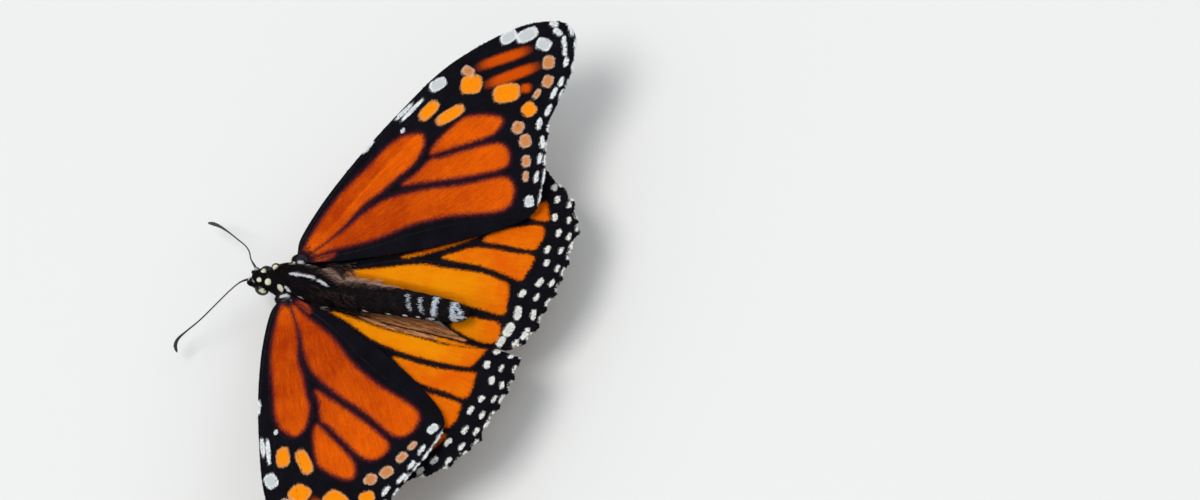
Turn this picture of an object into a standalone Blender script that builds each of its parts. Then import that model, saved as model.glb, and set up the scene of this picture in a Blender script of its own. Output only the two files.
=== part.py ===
"""Monarch butterfly, life size, as a still museum model in Blender 4.5 (metres, +Z up).

The insect stands on its four walking feet with its wings spread and swept back. It faces -Y,
its own left is +X. Everything is laid out in millimetres about a datum between the wing
roots, under one empty that is then set down so that the feet's flats lie at Z = 0.
"""

import math

import bmesh
import bpy
import numpy as np
from mathutils import Matrix, Vector
from mathutils.geometry import interpolate_bezier

MM = 0.001
CLEARANCE = 0.3  # air between neighbouring pieces

# ---------------------------------------------------------------- driving dimensions (mm)
STANDING_HEIGHT = 9.0  # wing-root datum above the floor
WING_THICKNESS = 0.5
FOREWING_LENGTH = 50.0

# How each wing is held: hinge point, then dihedral, pitch and sweep in degrees.
# A mirrored wing uses the same frame with X reversed.
FOREWING_POSE = {
    "right": ((-3.2, -0.4, 1.2), 7.0, -2.7, 34.5),
    "left": ((3.5, -0.2, 1.15), 6.3, -5.2, 35.8),
}
HINDWING_POSE = {
    "right": ((-2.7, 3.4, -0.15), 7.9, -2.9, 84.8),
    "left": ((2.4, 3.1, -0.15), 11.6, -3.2, 82.0),
}
SIDE_SIGN = {"left": 1, "right": -1}

# Wing outlines: first number runs from hinge to tip, second towards the hind edge.
FOREWING_OUTLINE = [
    (-0.3, -0.7), (1.6, -2.8), (7.5, -4.9), (15.2, -6.5), (23.6, -7.6), (31.6, -8.0),
    (38.2, -6.9), (44.4, -4.8), (48.4, -2.1), (50.0, 0.3), (49.3, 2.9), (46.6, 5.6),
    (42.8, 7.7), (39.2, 9.5), (36.4, 12.4), (33.9, 15.3), (31.4, 17.7), (29.3, 18.6),
    (26.2, 18.1), (20.0, 15.3), (12.1, 10.7), (4.5, 5.2), (0.9, 2.0),
]
HINDWING_OUTLINE = [
    (0.3, -1.2), (2.4, -5.6), (7.6, -11.6), (14.0, -16.6), (20.5, -19.8), (25.2, -20.5),
    (29.4, -18.0), (32.6, -15.4), (34.7, -12.2), (36.0, -9.0), (36.4, -5.2), (36.0, -1.4),
    (35.0, 2.2), (34.0, 5.6), (32.6, 7.8), (30.8, 8.4), (28.0, 7.9), (24.0, 6.9),
    (20.6, 5.7), (17.4, 4.2), (13.0, 3.0), (8.0, 2.3), (3.6, 1.6), (1.2, 0.9),
]
HINDWING_TUCK = 3.3  # the left inner lobe stops here, where the right one lies over it

# Gentle bends of the wing sheets: spanwise, chordwise and twist, in 1/50 mm.
FOREWING_CAMBER = (-0.004, -0.125, -0.138)
HINDWING_CAMBER = (-0.037, -0.504, 0.096)
FOLD_DEPTH = 2.45  # the hindwing's inner edge dips under the abdomen by this much
FOLD_REMAINS = 0.5  # and by this much behind it
FOLD_WIDTH = 1.9

# Body sections: place along the body, height of the middle, half width, half height, and how far
# the middle lies to the left. The waist is bent a little towards the insect's left.
THORAX_SECTIONS = [
    (-5.1, -1.75, 1.35, 1.40, 0.0), (-4.75, -1.55, 1.75, 1.85, 0.0), (-3.9, -1.15, 2.08, 2.35, 0.0),
    (-2.8, -0.80, 2.40, 2.75, 0.0), (-1.2, -0.55, 2.68, 3.02, 0.0), (0.8, -0.48, 2.75, 3.12, 0.0),
    (2.6, -0.50, 2.66, 3.10, 0.0), (4.0, -0.62, 2.40, 2.72, 0.0), (5.1, -0.68, 1.98, 2.18, 0.08),
    (5.8, -0.60, 1.45, 1.60, 0.16), (6.1, -0.50, 0.95, 1.05, 0.20),
]
ABDOMEN_SECTIONS = [
    (6.6, -0.25, 1.00, 1.05, 0.28), (7.0, -0.10, 1.45, 1.50, 0.34), (8.0, 0.20, 1.74, 1.76, 0.42),
    (10.5, 0.62, 1.98, 1.96, 0.42), (13.5, 0.98, 2.04, 2.00, 0.30), (17.0, 1.32, 1.96, 1.92, 0.17),
    (20.5, 1.62, 1.88, 1.82, 0.08), (23.5, 1.84, 1.74, 1.70, 0.02), (26.0, 2.02, 1.50, 1.46, 0.0),
    (27.6, 2.10, 1.12, 1.08, 0.0), (28.4, 2.12, 0.62, 0.60, 0.0),
]
BODY_SIDES = 20
END_BULGE = 0.1  # how far each body end is domed, as a share of its half width

HEAD_CENTRE = (0.15, -7.05, -2.25)
HEAD_RADII = (1.72, 1.66, 1.80)
HEAD_ROLL = 10.0  # degrees, crown towards the insect's left
EYE_OFFSET = (1.25, 0.32, -0.02)  # from the head's centre
EYE_RADII = (0.92, 1.06, 1.12)

PALP_PATH = [(0.62, -8.55, -3.75), (0.72, -9.15, -3.45), (0.82, -9.35, -2.85), (0.86, -9.25, -2.35)]
PALP_RADII = [0.26, 0.36, 0.33, 0.25]
PROBOSCIS_CENTRE = (0.0, -8.75, -4.95)
PROBOSCIS_RADII = (0.60, 0.27)  # of the coil and of the tube

# A feeler leaves the brow upwards and runs out and forwards. The left club turns outwards; the
# right feeler is held closer in and straighter.
ANTENNA_PATHS = {
    "left": [
        (0.95, -8.75, -1.10), (2.00, -9.50, -0.65), (3.40, -10.40, -0.70), (5.30, -11.80, -1.30),
        (7.90, -14.20, -2.75), (9.60, -16.40, -4.10), (10.70, -17.70, -4.95), (11.60, -18.05, -5.55),
        (12.50, -17.55, -6.10),
    ],
    "right": [
        (-0.90, -8.44, -1.12), (-1.95, -9.26, -0.62), (-2.91, -9.92, -0.55), (-3.81, -11.12, -0.85),
        (-4.87, -13.36, -1.75), (-6.06, -15.89, -2.95), (-7.08, -18.34, -4.15), (-7.61, -20.17, -5.00),
        (-7.77, -21.52, -5.55),
    ],
}
ANTENNA_RADII = [0.26, 0.25, 0.25, 0.25, 0.26, 0.29, 0.36, 0.42, 0.34]

LEG_PATHS = {
    "midleg": [(1.30, -0.40, -3.88), (2.60, -1.10, -4.35), (5.40, -1.60, -3.70), (6.60, -1.60, -5.60),
               (7.40, -1.90, -7.90), (7.80, -2.20, -8.78), (8.90, -4.20, -8.80)],
    "hindleg": [(1.30, 3.00, -3.80), (2.50, 4.60, -4.50), (4.90, 9.20, -4.30), (6.10, 12.00, -6.00),
                (7.10, 14.40, -8.00), (7.50, 15.60, -8.78), (8.70, 20.60, -8.80)],
}
LEG_RADII = [0.46, 0.46, 0.34, 0.31, 0.28, 0.27, 0.26]
FORELEG_PATH = [(0.85, -2.60, -4.15), (1.10, -3.90, -4.40), (1.15, -4.90, -4.25), (1.00, -5.30, -3.75)]
FORELEG_RADII = [0.30, 0.36, 0.30, 0.26]

COLOURS = {
    "orange": (0.72, 0.13, 0.008, 1.0),
    "amber": (0.80, 0.22, 0.010, 1.0),
    "black": (0.010, 0.010, 0.014, 1.0),
    "soot": (0.018, 0.015, 0.020, 1.0),
    "eye": (0.006, 0.005, 0.006, 1.0),
    "amber_tube": (0.045, 0.028, 0.018, 1.0),
}


def clear_scene():
    for old in list(bpy.data.objects):
        bpy.data.objects.remove(old, do_unlink=True)


def new_collection(name, helper=False):
    made = bpy.data.collections.new(name)
    bpy.context.scene.collection.children.link(made)
    made.hide_render = helper
    return made


def finish_material(name, colour, roughness):
    made = bpy.data.materials.new(name)
    made.use_nodes = True
    shader = made.node_tree.nodes["Principled BSDF"]
    shader.inputs["Base Color"].default_value = colour
    shader.inputs["Roughness"].default_value = roughness
    shader.inputs["Metallic"].default_value = 0.0
    return made


def smooth_step(x):
    t = min(max(x, 0.0), 1.0)
    return t * t * (3 - 2 * t)


def curve_points(anchors, steps, closed=False):
    """Points on a smooth curve through the anchors, steps to each span."""
    points = [Vector(a) if len(a) == 3 else Vector((*a, 0.0)) for a in anchors]
    count = len(points)
    found = []
    for i in range(count if closed else count - 1):
        before = points[i - 1] if closed or i > 0 else points[0]
        start, end = points[i], points[(i + 1) % count]
        after = points[(i + 2) % count] if closed or i + 2 < count else points[-1]
        handle_a = start + (end - before) / 6
        handle_b = end - (after - start) / 6
        found += interpolate_bezier(start, handle_a, handle_b, end, steps + 1)[:-1]
    if not closed:
        found.append(points[-1])
    return found


def object_from(bm, name, collection, material=None, smooth=True):
    bmesh.ops.recalc_face_normals(bm, faces=bm.faces)
    for vertex in bm.verts:
        vertex.co *= MM
    mesh = bpy.data.meshes.new(name)
    bm.to_mesh(mesh)
    bm.free()
    made = bpy.data.objects.new(name, mesh)
    collection.objects.link(made)
    if material:
        mesh.materials.append(material)
    if smooth:
        mesh.shade_smooth()
    made.parent = DATUM
    return made


def cut(piece, cutter, operation="DIFFERENCE"):
    modifier = piece.modifiers.new(cutter.name, "BOOLEAN")
    modifier.operation = operation
    modifier.object = cutter
    modifier.solver = "EXACT"


def as_cutter(piece):
    piece.hide_render = True
    piece.display_type = "WIRE"
    return piece


# ---------------------------------------------------------------- body
def body_loft(name, sections, collection, material=None, grow=0.0):
    """A closed body through oval sections along Y, with a point at each end."""
    bm = bmesh.new()
    rings = []
    for along, height, half_width, half_height, leftward in sections:
        ring = []
        for i in range(BODY_SIDES):
            turn = math.tau * i / BODY_SIDES
            across = leftward + (half_width + grow) * math.cos(turn)
            up = height + (half_height + grow) * math.sin(turn)
            ring.append(bm.verts.new((across, along, up)))
        rings.append(ring)
    for ring, following in zip(rings, rings[1:]):
        for i in range(BODY_SIDES):
            j = (i + 1) % BODY_SIDES
            bm.faces.new((ring[i], ring[j], following[j], following[i]))
    for ring, section, away in ((rings[0], sections[0], -1), (rings[-1], sections[-1], 1)):
        along, height, half_width, _, leftward = section
        tip = bm.verts.new((leftward, along + away * (END_BULGE * half_width + grow), height))
        for i in range(BODY_SIDES):
            bm.faces.new((ring[i], ring[(i + 1) % BODY_SIDES], tip))
    return object_from(bm, name, collection, material)


def thorax_and_abdomen():
    body_loft("thorax", THORAX_SECTIONS, PARTS, SOOT)
    body_loft("abdomen", ABDOMEN_SECTIONS, PARTS, SOOT)


def ellipsoid(name, centre, radii, collection, material=None, grow=0.0, segments=16, rings=10):
    bm = bmesh.new()
    bmesh.ops.create_uvsphere(bm, u_segments=segments, v_segments=rings, radius=1.0)
    size = Matrix.Diagonal([r + grow for r in radii]).to_4x4()
    bmesh.ops.transform(bm, verts=bm.verts, matrix=Matrix.Translation(centre) @ size)
    return object_from(bm, name, collection, material)


def eye_centre(sign):
    roll = Matrix.Rotation(math.radians(HEAD_ROLL), 3, "Y")
    offset = Vector((sign * EYE_OFFSET[0], EYE_OFFSET[1], EYE_OFFSET[2]))
    return Vector(HEAD_CENTRE) + roll @ offset


def head_and_eyes():
    head = ellipsoid("head", HEAD_CENTRE, HEAD_RADII, PARTS, SOOT, segments=24, rings=16)
    for side, sign in SIDE_SIGN.items():
        ellipsoid(f"eye_{side}", eye_centre(sign), EYE_RADII, PARTS, EYE, segments=18, rings=12)
        socket = ellipsoid(f"eye_socket_{side}", eye_centre(sign), EYE_RADII, CUTTERS, grow=CLEARANCE,
                           segments=18, rings=12)
        cut(head, as_cutter(socket))


# ---------------------------------------------------------------- feelers, mouthparts and legs
def limb(name, path, radii, collection, material, steps=4, sides=4):
    """A tapering round limb along a smooth path, as a closed mesh."""
    curve = bpy.data.curves.new(name, "CURVE")
    curve.dimensions = "3D"
    curve.bevel_depth = MM
    curve.bevel_resolution = sides
    curve.use_fill_caps = True
    places = curve_points(path, steps)
    spline = curve.splines.new("POLY")
    spline.points.add(len(places) - 1)
    for i, place in enumerate(places):
        along = i / steps
        low = min(int(along), len(radii) - 2)
        thickness = radii[low] + (radii[low + 1] - radii[low]) * (along - low)
        spline.points[i].co = (*(place * MM), 1.0)
        spline.points[i].radius = thickness
    guide = bpy.data.objects.new(f"{name}_path", curve)
    collection.objects.link(guide)
    graph = bpy.context.evaluated_depsgraph_get()
    mesh = bpy.data.meshes.new_from_object(guide.evaluated_get(graph))
    bpy.data.objects.remove(guide)
    bm = bmesh.new()
    bm.from_mesh(mesh)
    bmesh.ops.remove_doubles(bm, verts=bm.verts, dist=1e-6)
    bmesh.ops.recalc_face_normals(bm, faces=bm.faces)
    bm.to_mesh(mesh)
    bm.free()
    mesh.name = name
    mesh.materials.clear()
    mesh.materials.append(material)
    mesh.shade_smooth()
    made = bpy.data.objects.new(name, mesh)
    collection.objects.link(made)
    made.parent = DATUM
    return made


def mirrored(path, sign):
    """The path on one side."""
    return [(sign * x, y, z) for x, y, z in path]


def antennae():
    for side, path in ANTENNA_PATHS.items():
        limb(f"antenna_{side}", path, ANTENNA_RADII, PARTS, BLACK, steps=3, sides=1)


def mouthparts():
    for side, sign in SIDE_SIGN.items():
        limb(f"palp_{side}", mirrored(PALP_PATH, sign), PALP_RADII, PARTS, SOOT, steps=3, sides=1)
    coil_radius, tube_radius = PROBOSCIS_RADII
    bpy.ops.mesh.primitive_torus_add(major_radius=coil_radius * MM, minor_radius=tube_radius * MM,
                                     major_segments=14, minor_segments=8,
                                     location=[c * MM for c in PROBOSCIS_CENTRE],
                                     rotation=(0.0, math.radians(90), 0.0))
    coil = bpy.context.active_object
    coil.name = coil.data.name = "proboscis"
    bpy.context.collection.objects.unlink(coil)
    PARTS.objects.link(coil)
    coil.data.materials.append(AMBER_TUBE)
    coil.data.shade_smooth()
    coil.parent = DATUM


def floor_cutter():
    """A slab whose top is the floor: it planes the soles flat."""
    bm = bmesh.new()
    bmesh.ops.create_cube(bm, size=1.0)
    slab = (60.0, 60.0, 6.0)
    bmesh.ops.scale(bm, verts=bm.verts, vec=slab)
    bmesh.ops.translate(bm, verts=bm.verts, vec=(0.0, 0.0, -STANDING_HEIGHT - slab[2] / 2))
    return as_cutter(object_from(bm, "floor_plane", CUTTERS, smooth=False))


def legs():
    floor = floor_cutter()
    for side, sign in SIDE_SIGN.items():
        for name, path in LEG_PATHS.items():
            leg = limb(f"{name}_{side}", mirrored(path, sign), LEG_RADII, PARTS, BLACK, steps=3, sides=2)
            cut(leg, floor)
        limb(f"foreleg_{side}", mirrored(FORELEG_PATH, sign), FORELEG_RADII, PARTS, SOOT, steps=3, sides=1)


# ---------------------------------------------------------------- wings
def wing_matrix(hinge, dihedral, pitch, sweep, sign):
    """Local X runs from hinge to tip and local Z out of the upper side."""
    raised, pitched, swept = (math.radians(a) for a in (dihedral, pitch, sweep))
    outward = Vector((sign * math.cos(raised), 0.0, math.sin(raised)))
    backward = Vector((0.0, math.cos(pitched), -math.sin(pitched)))
    backward = (backward - outward * outward.dot(backward)).normalized()
    length = math.cos(swept) * outward + math.sin(swept) * backward
    hindward = math.cos(swept) * backward - math.sin(swept) * outward
    up = length.cross(hindward) * sign
    matrix = Matrix((length, up.cross(length), up)).transposed().to_4x4()
    matrix.translation = Vector(hinge) * MM
    return matrix


def bend(camber, u, v):
    spanwise, chordwise, twist = camber
    return (spanwise * u * u + chordwise * v * v + twist * u * v) / FOREWING_LENGTH


def forewing_height(u, v):
    return bend(FOREWING_CAMBER, u, v)


def hindwing_height(u, v):
    """The inner strip dips beside and under the abdomen, less so behind it."""
    behind = smooth_step((u - 12.0) / 15.0)
    depth = FOLD_REMAINS + (FOLD_DEPTH - FOLD_REMAINS) * (1 - behind)
    inner = smooth_step((v + 0.8 - 0.09 * u) / FOLD_WIDTH)
    return bend(HINDWING_CAMBER, u, v) - depth * inner


def wing(name, outline, height, pose, sign, cells, material, clear_of):
    """A bent sheet given thickness, trimmed to its outline and kept clear of the body."""
    corners = np.array(outline)
    low, high = corners.min(axis=0) - 1.0, corners.max(axis=0) + 1.0
    bm = bmesh.new()
    bmesh.ops.create_grid(bm, x_segments=cells[0], y_segments=cells[1], size=0.5)
    for vertex in bm.verts:
        u = low[0] + (vertex.co.x + 0.5) * (high[0] - low[0])
        v = low[1] + (vertex.co.y + 0.5) * (high[1] - low[1])
        vertex.co = (u, sign * v, height(u, v))
    sheet = object_from(bm, name, PARTS, material)
    held = wing_matrix(*pose, sign)
    sheet.matrix_local = held
    thick = sheet.modifiers.new("thickness", "SOLIDIFY")
    thick.thickness = WING_THICKNESS * MM
    thick.offset = 0.0

    bm = bmesh.new()
    edge = [bm.verts.new((p.x, sign * p.y, -9.0)) for p in curve_points(outline, 3, closed=True)]
    base = bm.faces.new(edge)
    prism = bmesh.ops.extrude_face_region(bm, geom=[base])
    raised = [e for e in prism["geom"] if isinstance(e, bmesh.types.BMVert)]
    bmesh.ops.translate(bm, verts=raised, vec=(0.0, 0.0, 18.0))
    trim = as_cutter(object_from(bm, f"{name}_outline", CUTTERS, smooth=False))
    trim.matrix_local = held
    cut(sheet, trim, "INTERSECT")
    for neighbour in clear_of:
        cut(sheet, neighbour)


def wings():
    thorax_space = as_cutter(body_loft("thorax_space", THORAX_SECTIONS, CUTTERS, grow=CLEARANCE))
    abdomen_space = as_cutter(body_loft("abdomen_space", ABDOMEN_SECTIONS, CUTTERS, grow=CLEARANCE))
    for side, sign in SIDE_SIGN.items():
        wing(f"forewing_{side}", FOREWING_OUTLINE, forewing_height, FOREWING_POSE[side], sign, (16, 9),
             ORANGE, [thorax_space])
        hind = HINDWING_OUTLINE
        if side == "left":
            hind = [(u, min(v, HINDWING_TUCK)) for u, v in hind]
        wing(f"hindwing_{side}", hind, hindwing_height, HINDWING_POSE[side], sign, (14, 20),
             AMBER, [thorax_space, abdomen_space])


# ---------------------------------------------------------------- placing
def stand_on_floor():
    """Moves the datum so that the whole insect's box is centred over the origin, feet at Z = 0."""
    bpy.context.view_layer.update()
    graph = bpy.context.evaluated_depsgraph_get()
    corners = []
    for piece in PARTS.objects:
        evaluated = piece.evaluated_get(graph)
        mesh = evaluated.to_mesh()
        places = np.empty(len(mesh.vertices) * 3, np.float32)
        mesh.vertices.foreach_get("co", places)
        matrix = np.array(piece.matrix_world)
        corners.append(places.reshape(-1, 3) @ matrix[:3, :3].T + matrix[:3, 3])
        evaluated.to_mesh_clear()
    everything = np.concatenate(corners)
    low, high = everything.min(axis=0), everything.max(axis=0)
    DATUM.location = (-(low[0] + high[0]) / 2, -(low[1] + high[1]) / 2, STANDING_HEIGHT * MM)
    bpy.context.view_layer.update()


clear_scene()
PARTS = new_collection("monarch_butterfly")
CUTTERS = new_collection("monarch_butterfly_cutters", helper=True)
DATUM = bpy.data.objects.new("wing_root_datum", None)
bpy.context.scene.collection.objects.link(DATUM)

ORANGE = finish_material("forewing_scales", COLOURS["orange"], 0.75)
AMBER = finish_material("hindwing_scales", COLOURS["amber"], 0.75)
SOOT = finish_material("body_hair", COLOURS["soot"], 0.85)
BLACK = finish_material("limb_chitin", COLOURS["black"], 0.45)
EYE = finish_material("eye_black", COLOURS["eye"], 0.15)
AMBER_TUBE = finish_material("proboscis_chitin", COLOURS["amber_tube"], 0.35)

thorax_and_abdomen()
head_and_eyes()
mouthparts()
antennae()
legs()
wings()
stand_on_floor()
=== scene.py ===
# %% [markdown]
# # Monarch butterfly
#
# A monarch is a body the size of a short pencil stub between four sheets, each no thicker than a
# few tenths of a millimetre with its scales. Everything you see on it is scales and hair: the
# orange, the black and the white are small overlapping plates. This lesson builds it in the same
# order as an insect is put together. It starts with the light and the camera, then come the wings
# with their markings, scales and veins, then the body, the head, and at last the feelers and legs.
#
# All sizes are in millimetres about one point between the wing roots, with X to the insect's
# left, Y towards its tail and Z up. One function turns them into metres as a mesh is made.

# %% Load the fixed frame
import math

import bpy
import numpy as np
from mathutils import Matrix, Vector
from mathutils.geometry import delaunay_2d_cdt


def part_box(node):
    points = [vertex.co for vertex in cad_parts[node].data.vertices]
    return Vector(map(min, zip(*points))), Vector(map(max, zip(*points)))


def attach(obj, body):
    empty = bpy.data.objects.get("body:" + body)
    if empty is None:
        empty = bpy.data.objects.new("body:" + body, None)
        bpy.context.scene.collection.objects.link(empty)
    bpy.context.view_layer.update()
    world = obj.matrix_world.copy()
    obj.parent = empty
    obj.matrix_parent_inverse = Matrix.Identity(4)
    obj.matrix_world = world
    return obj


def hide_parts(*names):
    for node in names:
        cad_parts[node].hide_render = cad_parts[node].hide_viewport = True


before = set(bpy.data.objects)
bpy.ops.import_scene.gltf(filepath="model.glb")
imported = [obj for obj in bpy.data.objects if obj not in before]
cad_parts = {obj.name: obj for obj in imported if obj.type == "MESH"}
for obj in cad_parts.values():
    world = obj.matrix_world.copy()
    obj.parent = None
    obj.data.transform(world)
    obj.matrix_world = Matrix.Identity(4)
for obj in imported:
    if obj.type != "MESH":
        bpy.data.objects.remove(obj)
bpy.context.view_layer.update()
MM = 0.001
SIDES = {"left": 1, "right": -1}


def put_in_scene(name, data):
    """A new object that holds a mesh, a lamp or a camera."""
    made = bpy.data.objects.new(name, data)
    bpy.context.scene.collection.objects.link(made)
    return made


# %% [markdown]
# ## The point all measures start from
#
# The frame says where each piece is, so nothing has to be guessed. The left eye is an uncut
# ball, so the middle of its box is its centre. The eye sits at a known place on the head, and
# taking that away leaves the point between the wing roots.

# %% Find the datum
HEAD_CENTRE = np.array((0.15, -7.05, -2.25))
HEAD_ROLL = math.radians(10.0)
EYE_OFFSET = (1.25, 0.32, -0.02)
EYE_RADII = np.array((0.92, 1.06, 1.12))


def eye_centre(sign):
    """Centre of one eye: the head is rolled a little, so the left eye sits lower than the right."""
    across, along, up = sign * EYE_OFFSET[0], EYE_OFFSET[1], EYE_OFFSET[2]
    turned = (across * math.cos(HEAD_ROLL) + up * math.sin(HEAD_ROLL), along,
              up * math.cos(HEAD_ROLL) - across * math.sin(HEAD_ROLL))
    return HEAD_CENTRE + turned


low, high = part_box("eye_left")
DATUM = np.array((low + high) / 2) - eye_centre(1) * MM


def to_world(points):
    """Datum millimetres to scene metres."""
    return DATUM + np.asarray(points, float) * MM


print("datum (mm):", np.round(DATUM / MM, 2))

# %% [markdown]
# ## Camera, floor and light
#
# A long lens seen from above and behind the left wing keeps the wings in true proportion. The
# camera is placed by its compass angle and height above the horizon round a target point, then
# tilted about its own axis, as a hand-held camera is. The light is one big soft panel, a
# weaker one from the other side and a pale sky, so no scale is lost in a hard shadow.

# %% Camera
CAMERA_TARGET = (-19.16, 36.21, -11.51)
CAMERA_COMPASS = math.radians(52.77)  # from +X towards +Y
CAMERA_RISE = math.radians(56.27)
CAMERA_TILT = math.radians(324.811)
CAMERA_DISTANCE = 700.0
CAMERA_LENS = 149.13
SENSOR_WIDTH = 36.0

away = Vector((math.cos(CAMERA_RISE) * math.cos(CAMERA_COMPASS),
               math.cos(CAMERA_RISE) * math.sin(CAMERA_COMPASS), math.sin(CAMERA_RISE)))
level = Vector((0, 0, 1)).cross(away).normalized()
upright = away.cross(level)
right = math.cos(CAMERA_TILT) * level + math.sin(CAMERA_TILT) * upright
up = away.cross(right)
camera = put_in_scene("camera", bpy.data.cameras.new("camera"))
camera.matrix_world = Matrix((right, up, away)).transposed().to_4x4()
camera.location = to_world(np.array(CAMERA_TARGET) + CAMERA_DISTANCE * np.array(away))
camera.data.lens = CAMERA_LENS
camera.data.sensor_width = SENSOR_WIDTH
camera.data.clip_start = 0.01
camera.data.clip_end = 20.0
bpy.context.scene.camera = camera
print("camera at (mm):", [round(x / MM) for x in camera.location])

# %% Floor and light
HALF_FLOOR = 3.0
PAPER_WHITE = (0.74, 0.75, 0.74, 1)
SKY_BLUE = (0.93, 0.96, 1.0, 1)
SKY_STRENGTH = 0.62

floor_mesh = bpy.data.meshes.new("floor")
corners = [(x * HALF_FLOOR, y * HALF_FLOOR, 0) for x, y in ((-1, -1), (1, -1), (1, 1), (-1, 1))]
floor_mesh.from_pydata(corners, [], [(0, 1, 2, 3)])
paper = bpy.data.materials.new("floor_paper")
paper.use_nodes = True
paper_inputs = paper.node_tree.nodes["Principled BSDF"].inputs
paper_inputs["Base Color"].default_value = PAPER_WHITE
paper_inputs["Roughness"].default_value = 0.9
floor_mesh.materials.append(paper)
put_in_scene("floor", floor_mesh)

sky = bpy.data.worlds.new("pale_sky")
bpy.context.scene.world = sky
sky.use_nodes = True
sky_inputs = sky.node_tree.nodes["Background"].inputs
sky_inputs["Color"].default_value = SKY_BLUE
sky_inputs["Strength"].default_value = SKY_STRENGTH


def soft_panel(name, place, width, watts, colour):
    """A square soft light that faces the middle of the insect."""
    lamp = bpy.data.lights.new(name, "AREA")
    lamp.shape = "SQUARE"
    lamp.size = width
    lamp.energy = watts
    lamp.color = colour
    made = put_in_scene(name, lamp)
    made.location = place
    made.rotation_euler = Vector(place).to_track_quat("Z", "Y").to_euler()


soft_panel("key_light", place=(0.18, -0.10, 0.90), width=0.5, watts=4.8, colour=(1.0, 0.97, 0.93))
soft_panel("fill_light", place=(-0.55, 0.50, 0.55), width=0.6, watts=1.7, colour=(0.93, 0.96, 1.0))
bpy.context.scene.view_settings.view_transform = "Standard"

# %% [markdown]
# ## Smooth lines, loops and spots
#
# Every marking is one of three shapes: a closed loop, an oval spot, or a line. For each we only
# need to know how deep inside it a place lies, in millimetres, with a minus sign outside. With
# that one number a finish can draw a sharp edge, a soft edge or a coloured rim, however coarse
# the mesh is, and the same number serves the membrane and the scales on it.

# %% Curves and depths
FAR = -9.0  # the depth given to a place nowhere near a marking


def unit(directions):
    """The same directions, each 1 long."""
    return directions / np.linalg.norm(directions, axis=-1, keepdims=True)


def distances(line):
    """How far along a line each of its points is."""
    return np.concatenate([[0], np.cumsum(np.linalg.norm(np.diff(line, axis=0), axis=1))])


def smooth(points, steps, closed=False):
    """Points on a smooth curve through the given ones, which may hold any number of values each."""
    p = np.array(points, float)
    if closed:
        before, start, end, after = np.roll(p, 1, 0), p, np.roll(p, -1, 0), np.roll(p, -2, 0)
    else:
        padded = np.vstack([p[:1], p, p[-1:]])
        before, start, end, after = padded[:-3], padded[1:-2], padded[2:-1], padded[3:]
    t = (np.arange(steps) / steps)[None, :, None]
    before, start, end, after = (q[:, None, :] for q in (before, start, end, after))
    curve = 0.5 * (2 * start + (end - before) * t + (2 * before - 5 * start + 4 * end - after) * t ** 2
                   + (3 * start - before - 3 * end + after) * t ** 3)
    curve = curve.reshape(-1, p.shape[1])
    return curve if closed else np.vstack([curve, p[-1:]])


def line_distance(u, v, line, closed=False):
    """Distance of each place from a line of points."""
    a = line if closed else line[:-1]
    b = np.roll(line, -1, 0) if closed else line[1:]
    ab = b - a
    pu, pv = u[:, None] - a[:, 0], v[:, None] - a[:, 1]
    share = np.clip((pu * ab[:, 0] + pv * ab[:, 1]) / np.maximum((ab ** 2).sum(1), 1e-12), 0, 1)
    squared = (pu - share * ab[:, 0]) ** 2 + (pv - share * ab[:, 1]) ** 2
    return np.sqrt(squared.min(1))


def is_inside(u, v, loop):
    """Whether a level ray from each place crosses a closed line an odd number of times."""
    a, b = loop, np.roll(loop, -1, 0)
    rises = (a[:, 1] > v[:, None]) != (b[:, 1] > v[:, None])
    slope = (b[:, 0] - a[:, 0]) / np.where(b[:, 1] == a[:, 1], 1e-12, b[:, 1] - a[:, 1])
    crosses = rises & (u[:, None] < slope * (v[:, None] - a[:, 1]) + a[:, 0])
    return crosses.sum(1) % 2 == 1


def loop_depth(u, v, loops):
    """How deep each place lies inside the nearest of several closed loops."""
    depth = np.full(len(u), FAR)
    for corners in loops:
        loop = smooth(corners, 5, closed=True)
        low, high = loop.min(0) - 1.5, loop.max(0) + 1.5
        near = (u > low[0]) & (u < high[0]) & (v > low[1]) & (v < high[1])
        if not near.any():
            continue
        away_from = line_distance(u[near], v[near], loop, closed=True)
        signed = np.where(is_inside(u[near], v[near], loop), away_from, -away_from)
        depth[near] = np.maximum(depth[near], signed)
    return depth


def spot_depth(u, v, spots):
    """The same for blunt oval spots, each (u, v, length, width, turn in degrees)."""
    depth = np.full(len(u), FAR)
    for across, along, length, width, turn in spots:
        c, s = math.cos(math.radians(turn)), math.sin(math.radians(turn))
        x, y = (u - across) * c + (v - along) * s, (v - along) * c - (u - across) * s
        reach = ((np.abs(x) * 2 / length) ** 3 + (np.abs(y) * 2 / width) ** 3) ** (1 / 3)
        depth = np.maximum(depth, (1 - reach) * min(length, width) / 2)
    return depth


def row_of_spots(places, default_length, default_width):
    """Spots that lie end to end along a row. A place may carry its own length and width."""
    found = []
    for i, place in enumerate(places):
        before, after = places[max(i - 1, 0)], places[min(i + 1, len(places) - 1)]
        turn = math.degrees(math.atan2(after[1] - before[1], after[0] - before[0]))
        length, width = place[2:] if len(place) == 4 else (default_length, default_width)
        found.append((place[0], place[1], length, width, turn))
    return found


middle = spot_depth(np.zeros(1), np.zeros(1), [(0, 0, 1, 1, 0)])[0]
print("a spot 1 mm across is this deep at its middle:", middle)

# %% [markdown]
# ## How the wings are held
#
# Each wing has its own flat chart: u runs from the hinge to the tip and v towards the hind
# edge. The same chart serves left and right. Three angles say how the wing is held: how far it
# is raised, how far its rear edge drops, and how far it is swept back. A wing isn't flat
# either. It bows gently, and the hindwing's inner strip dips beside the abdomen.

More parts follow.
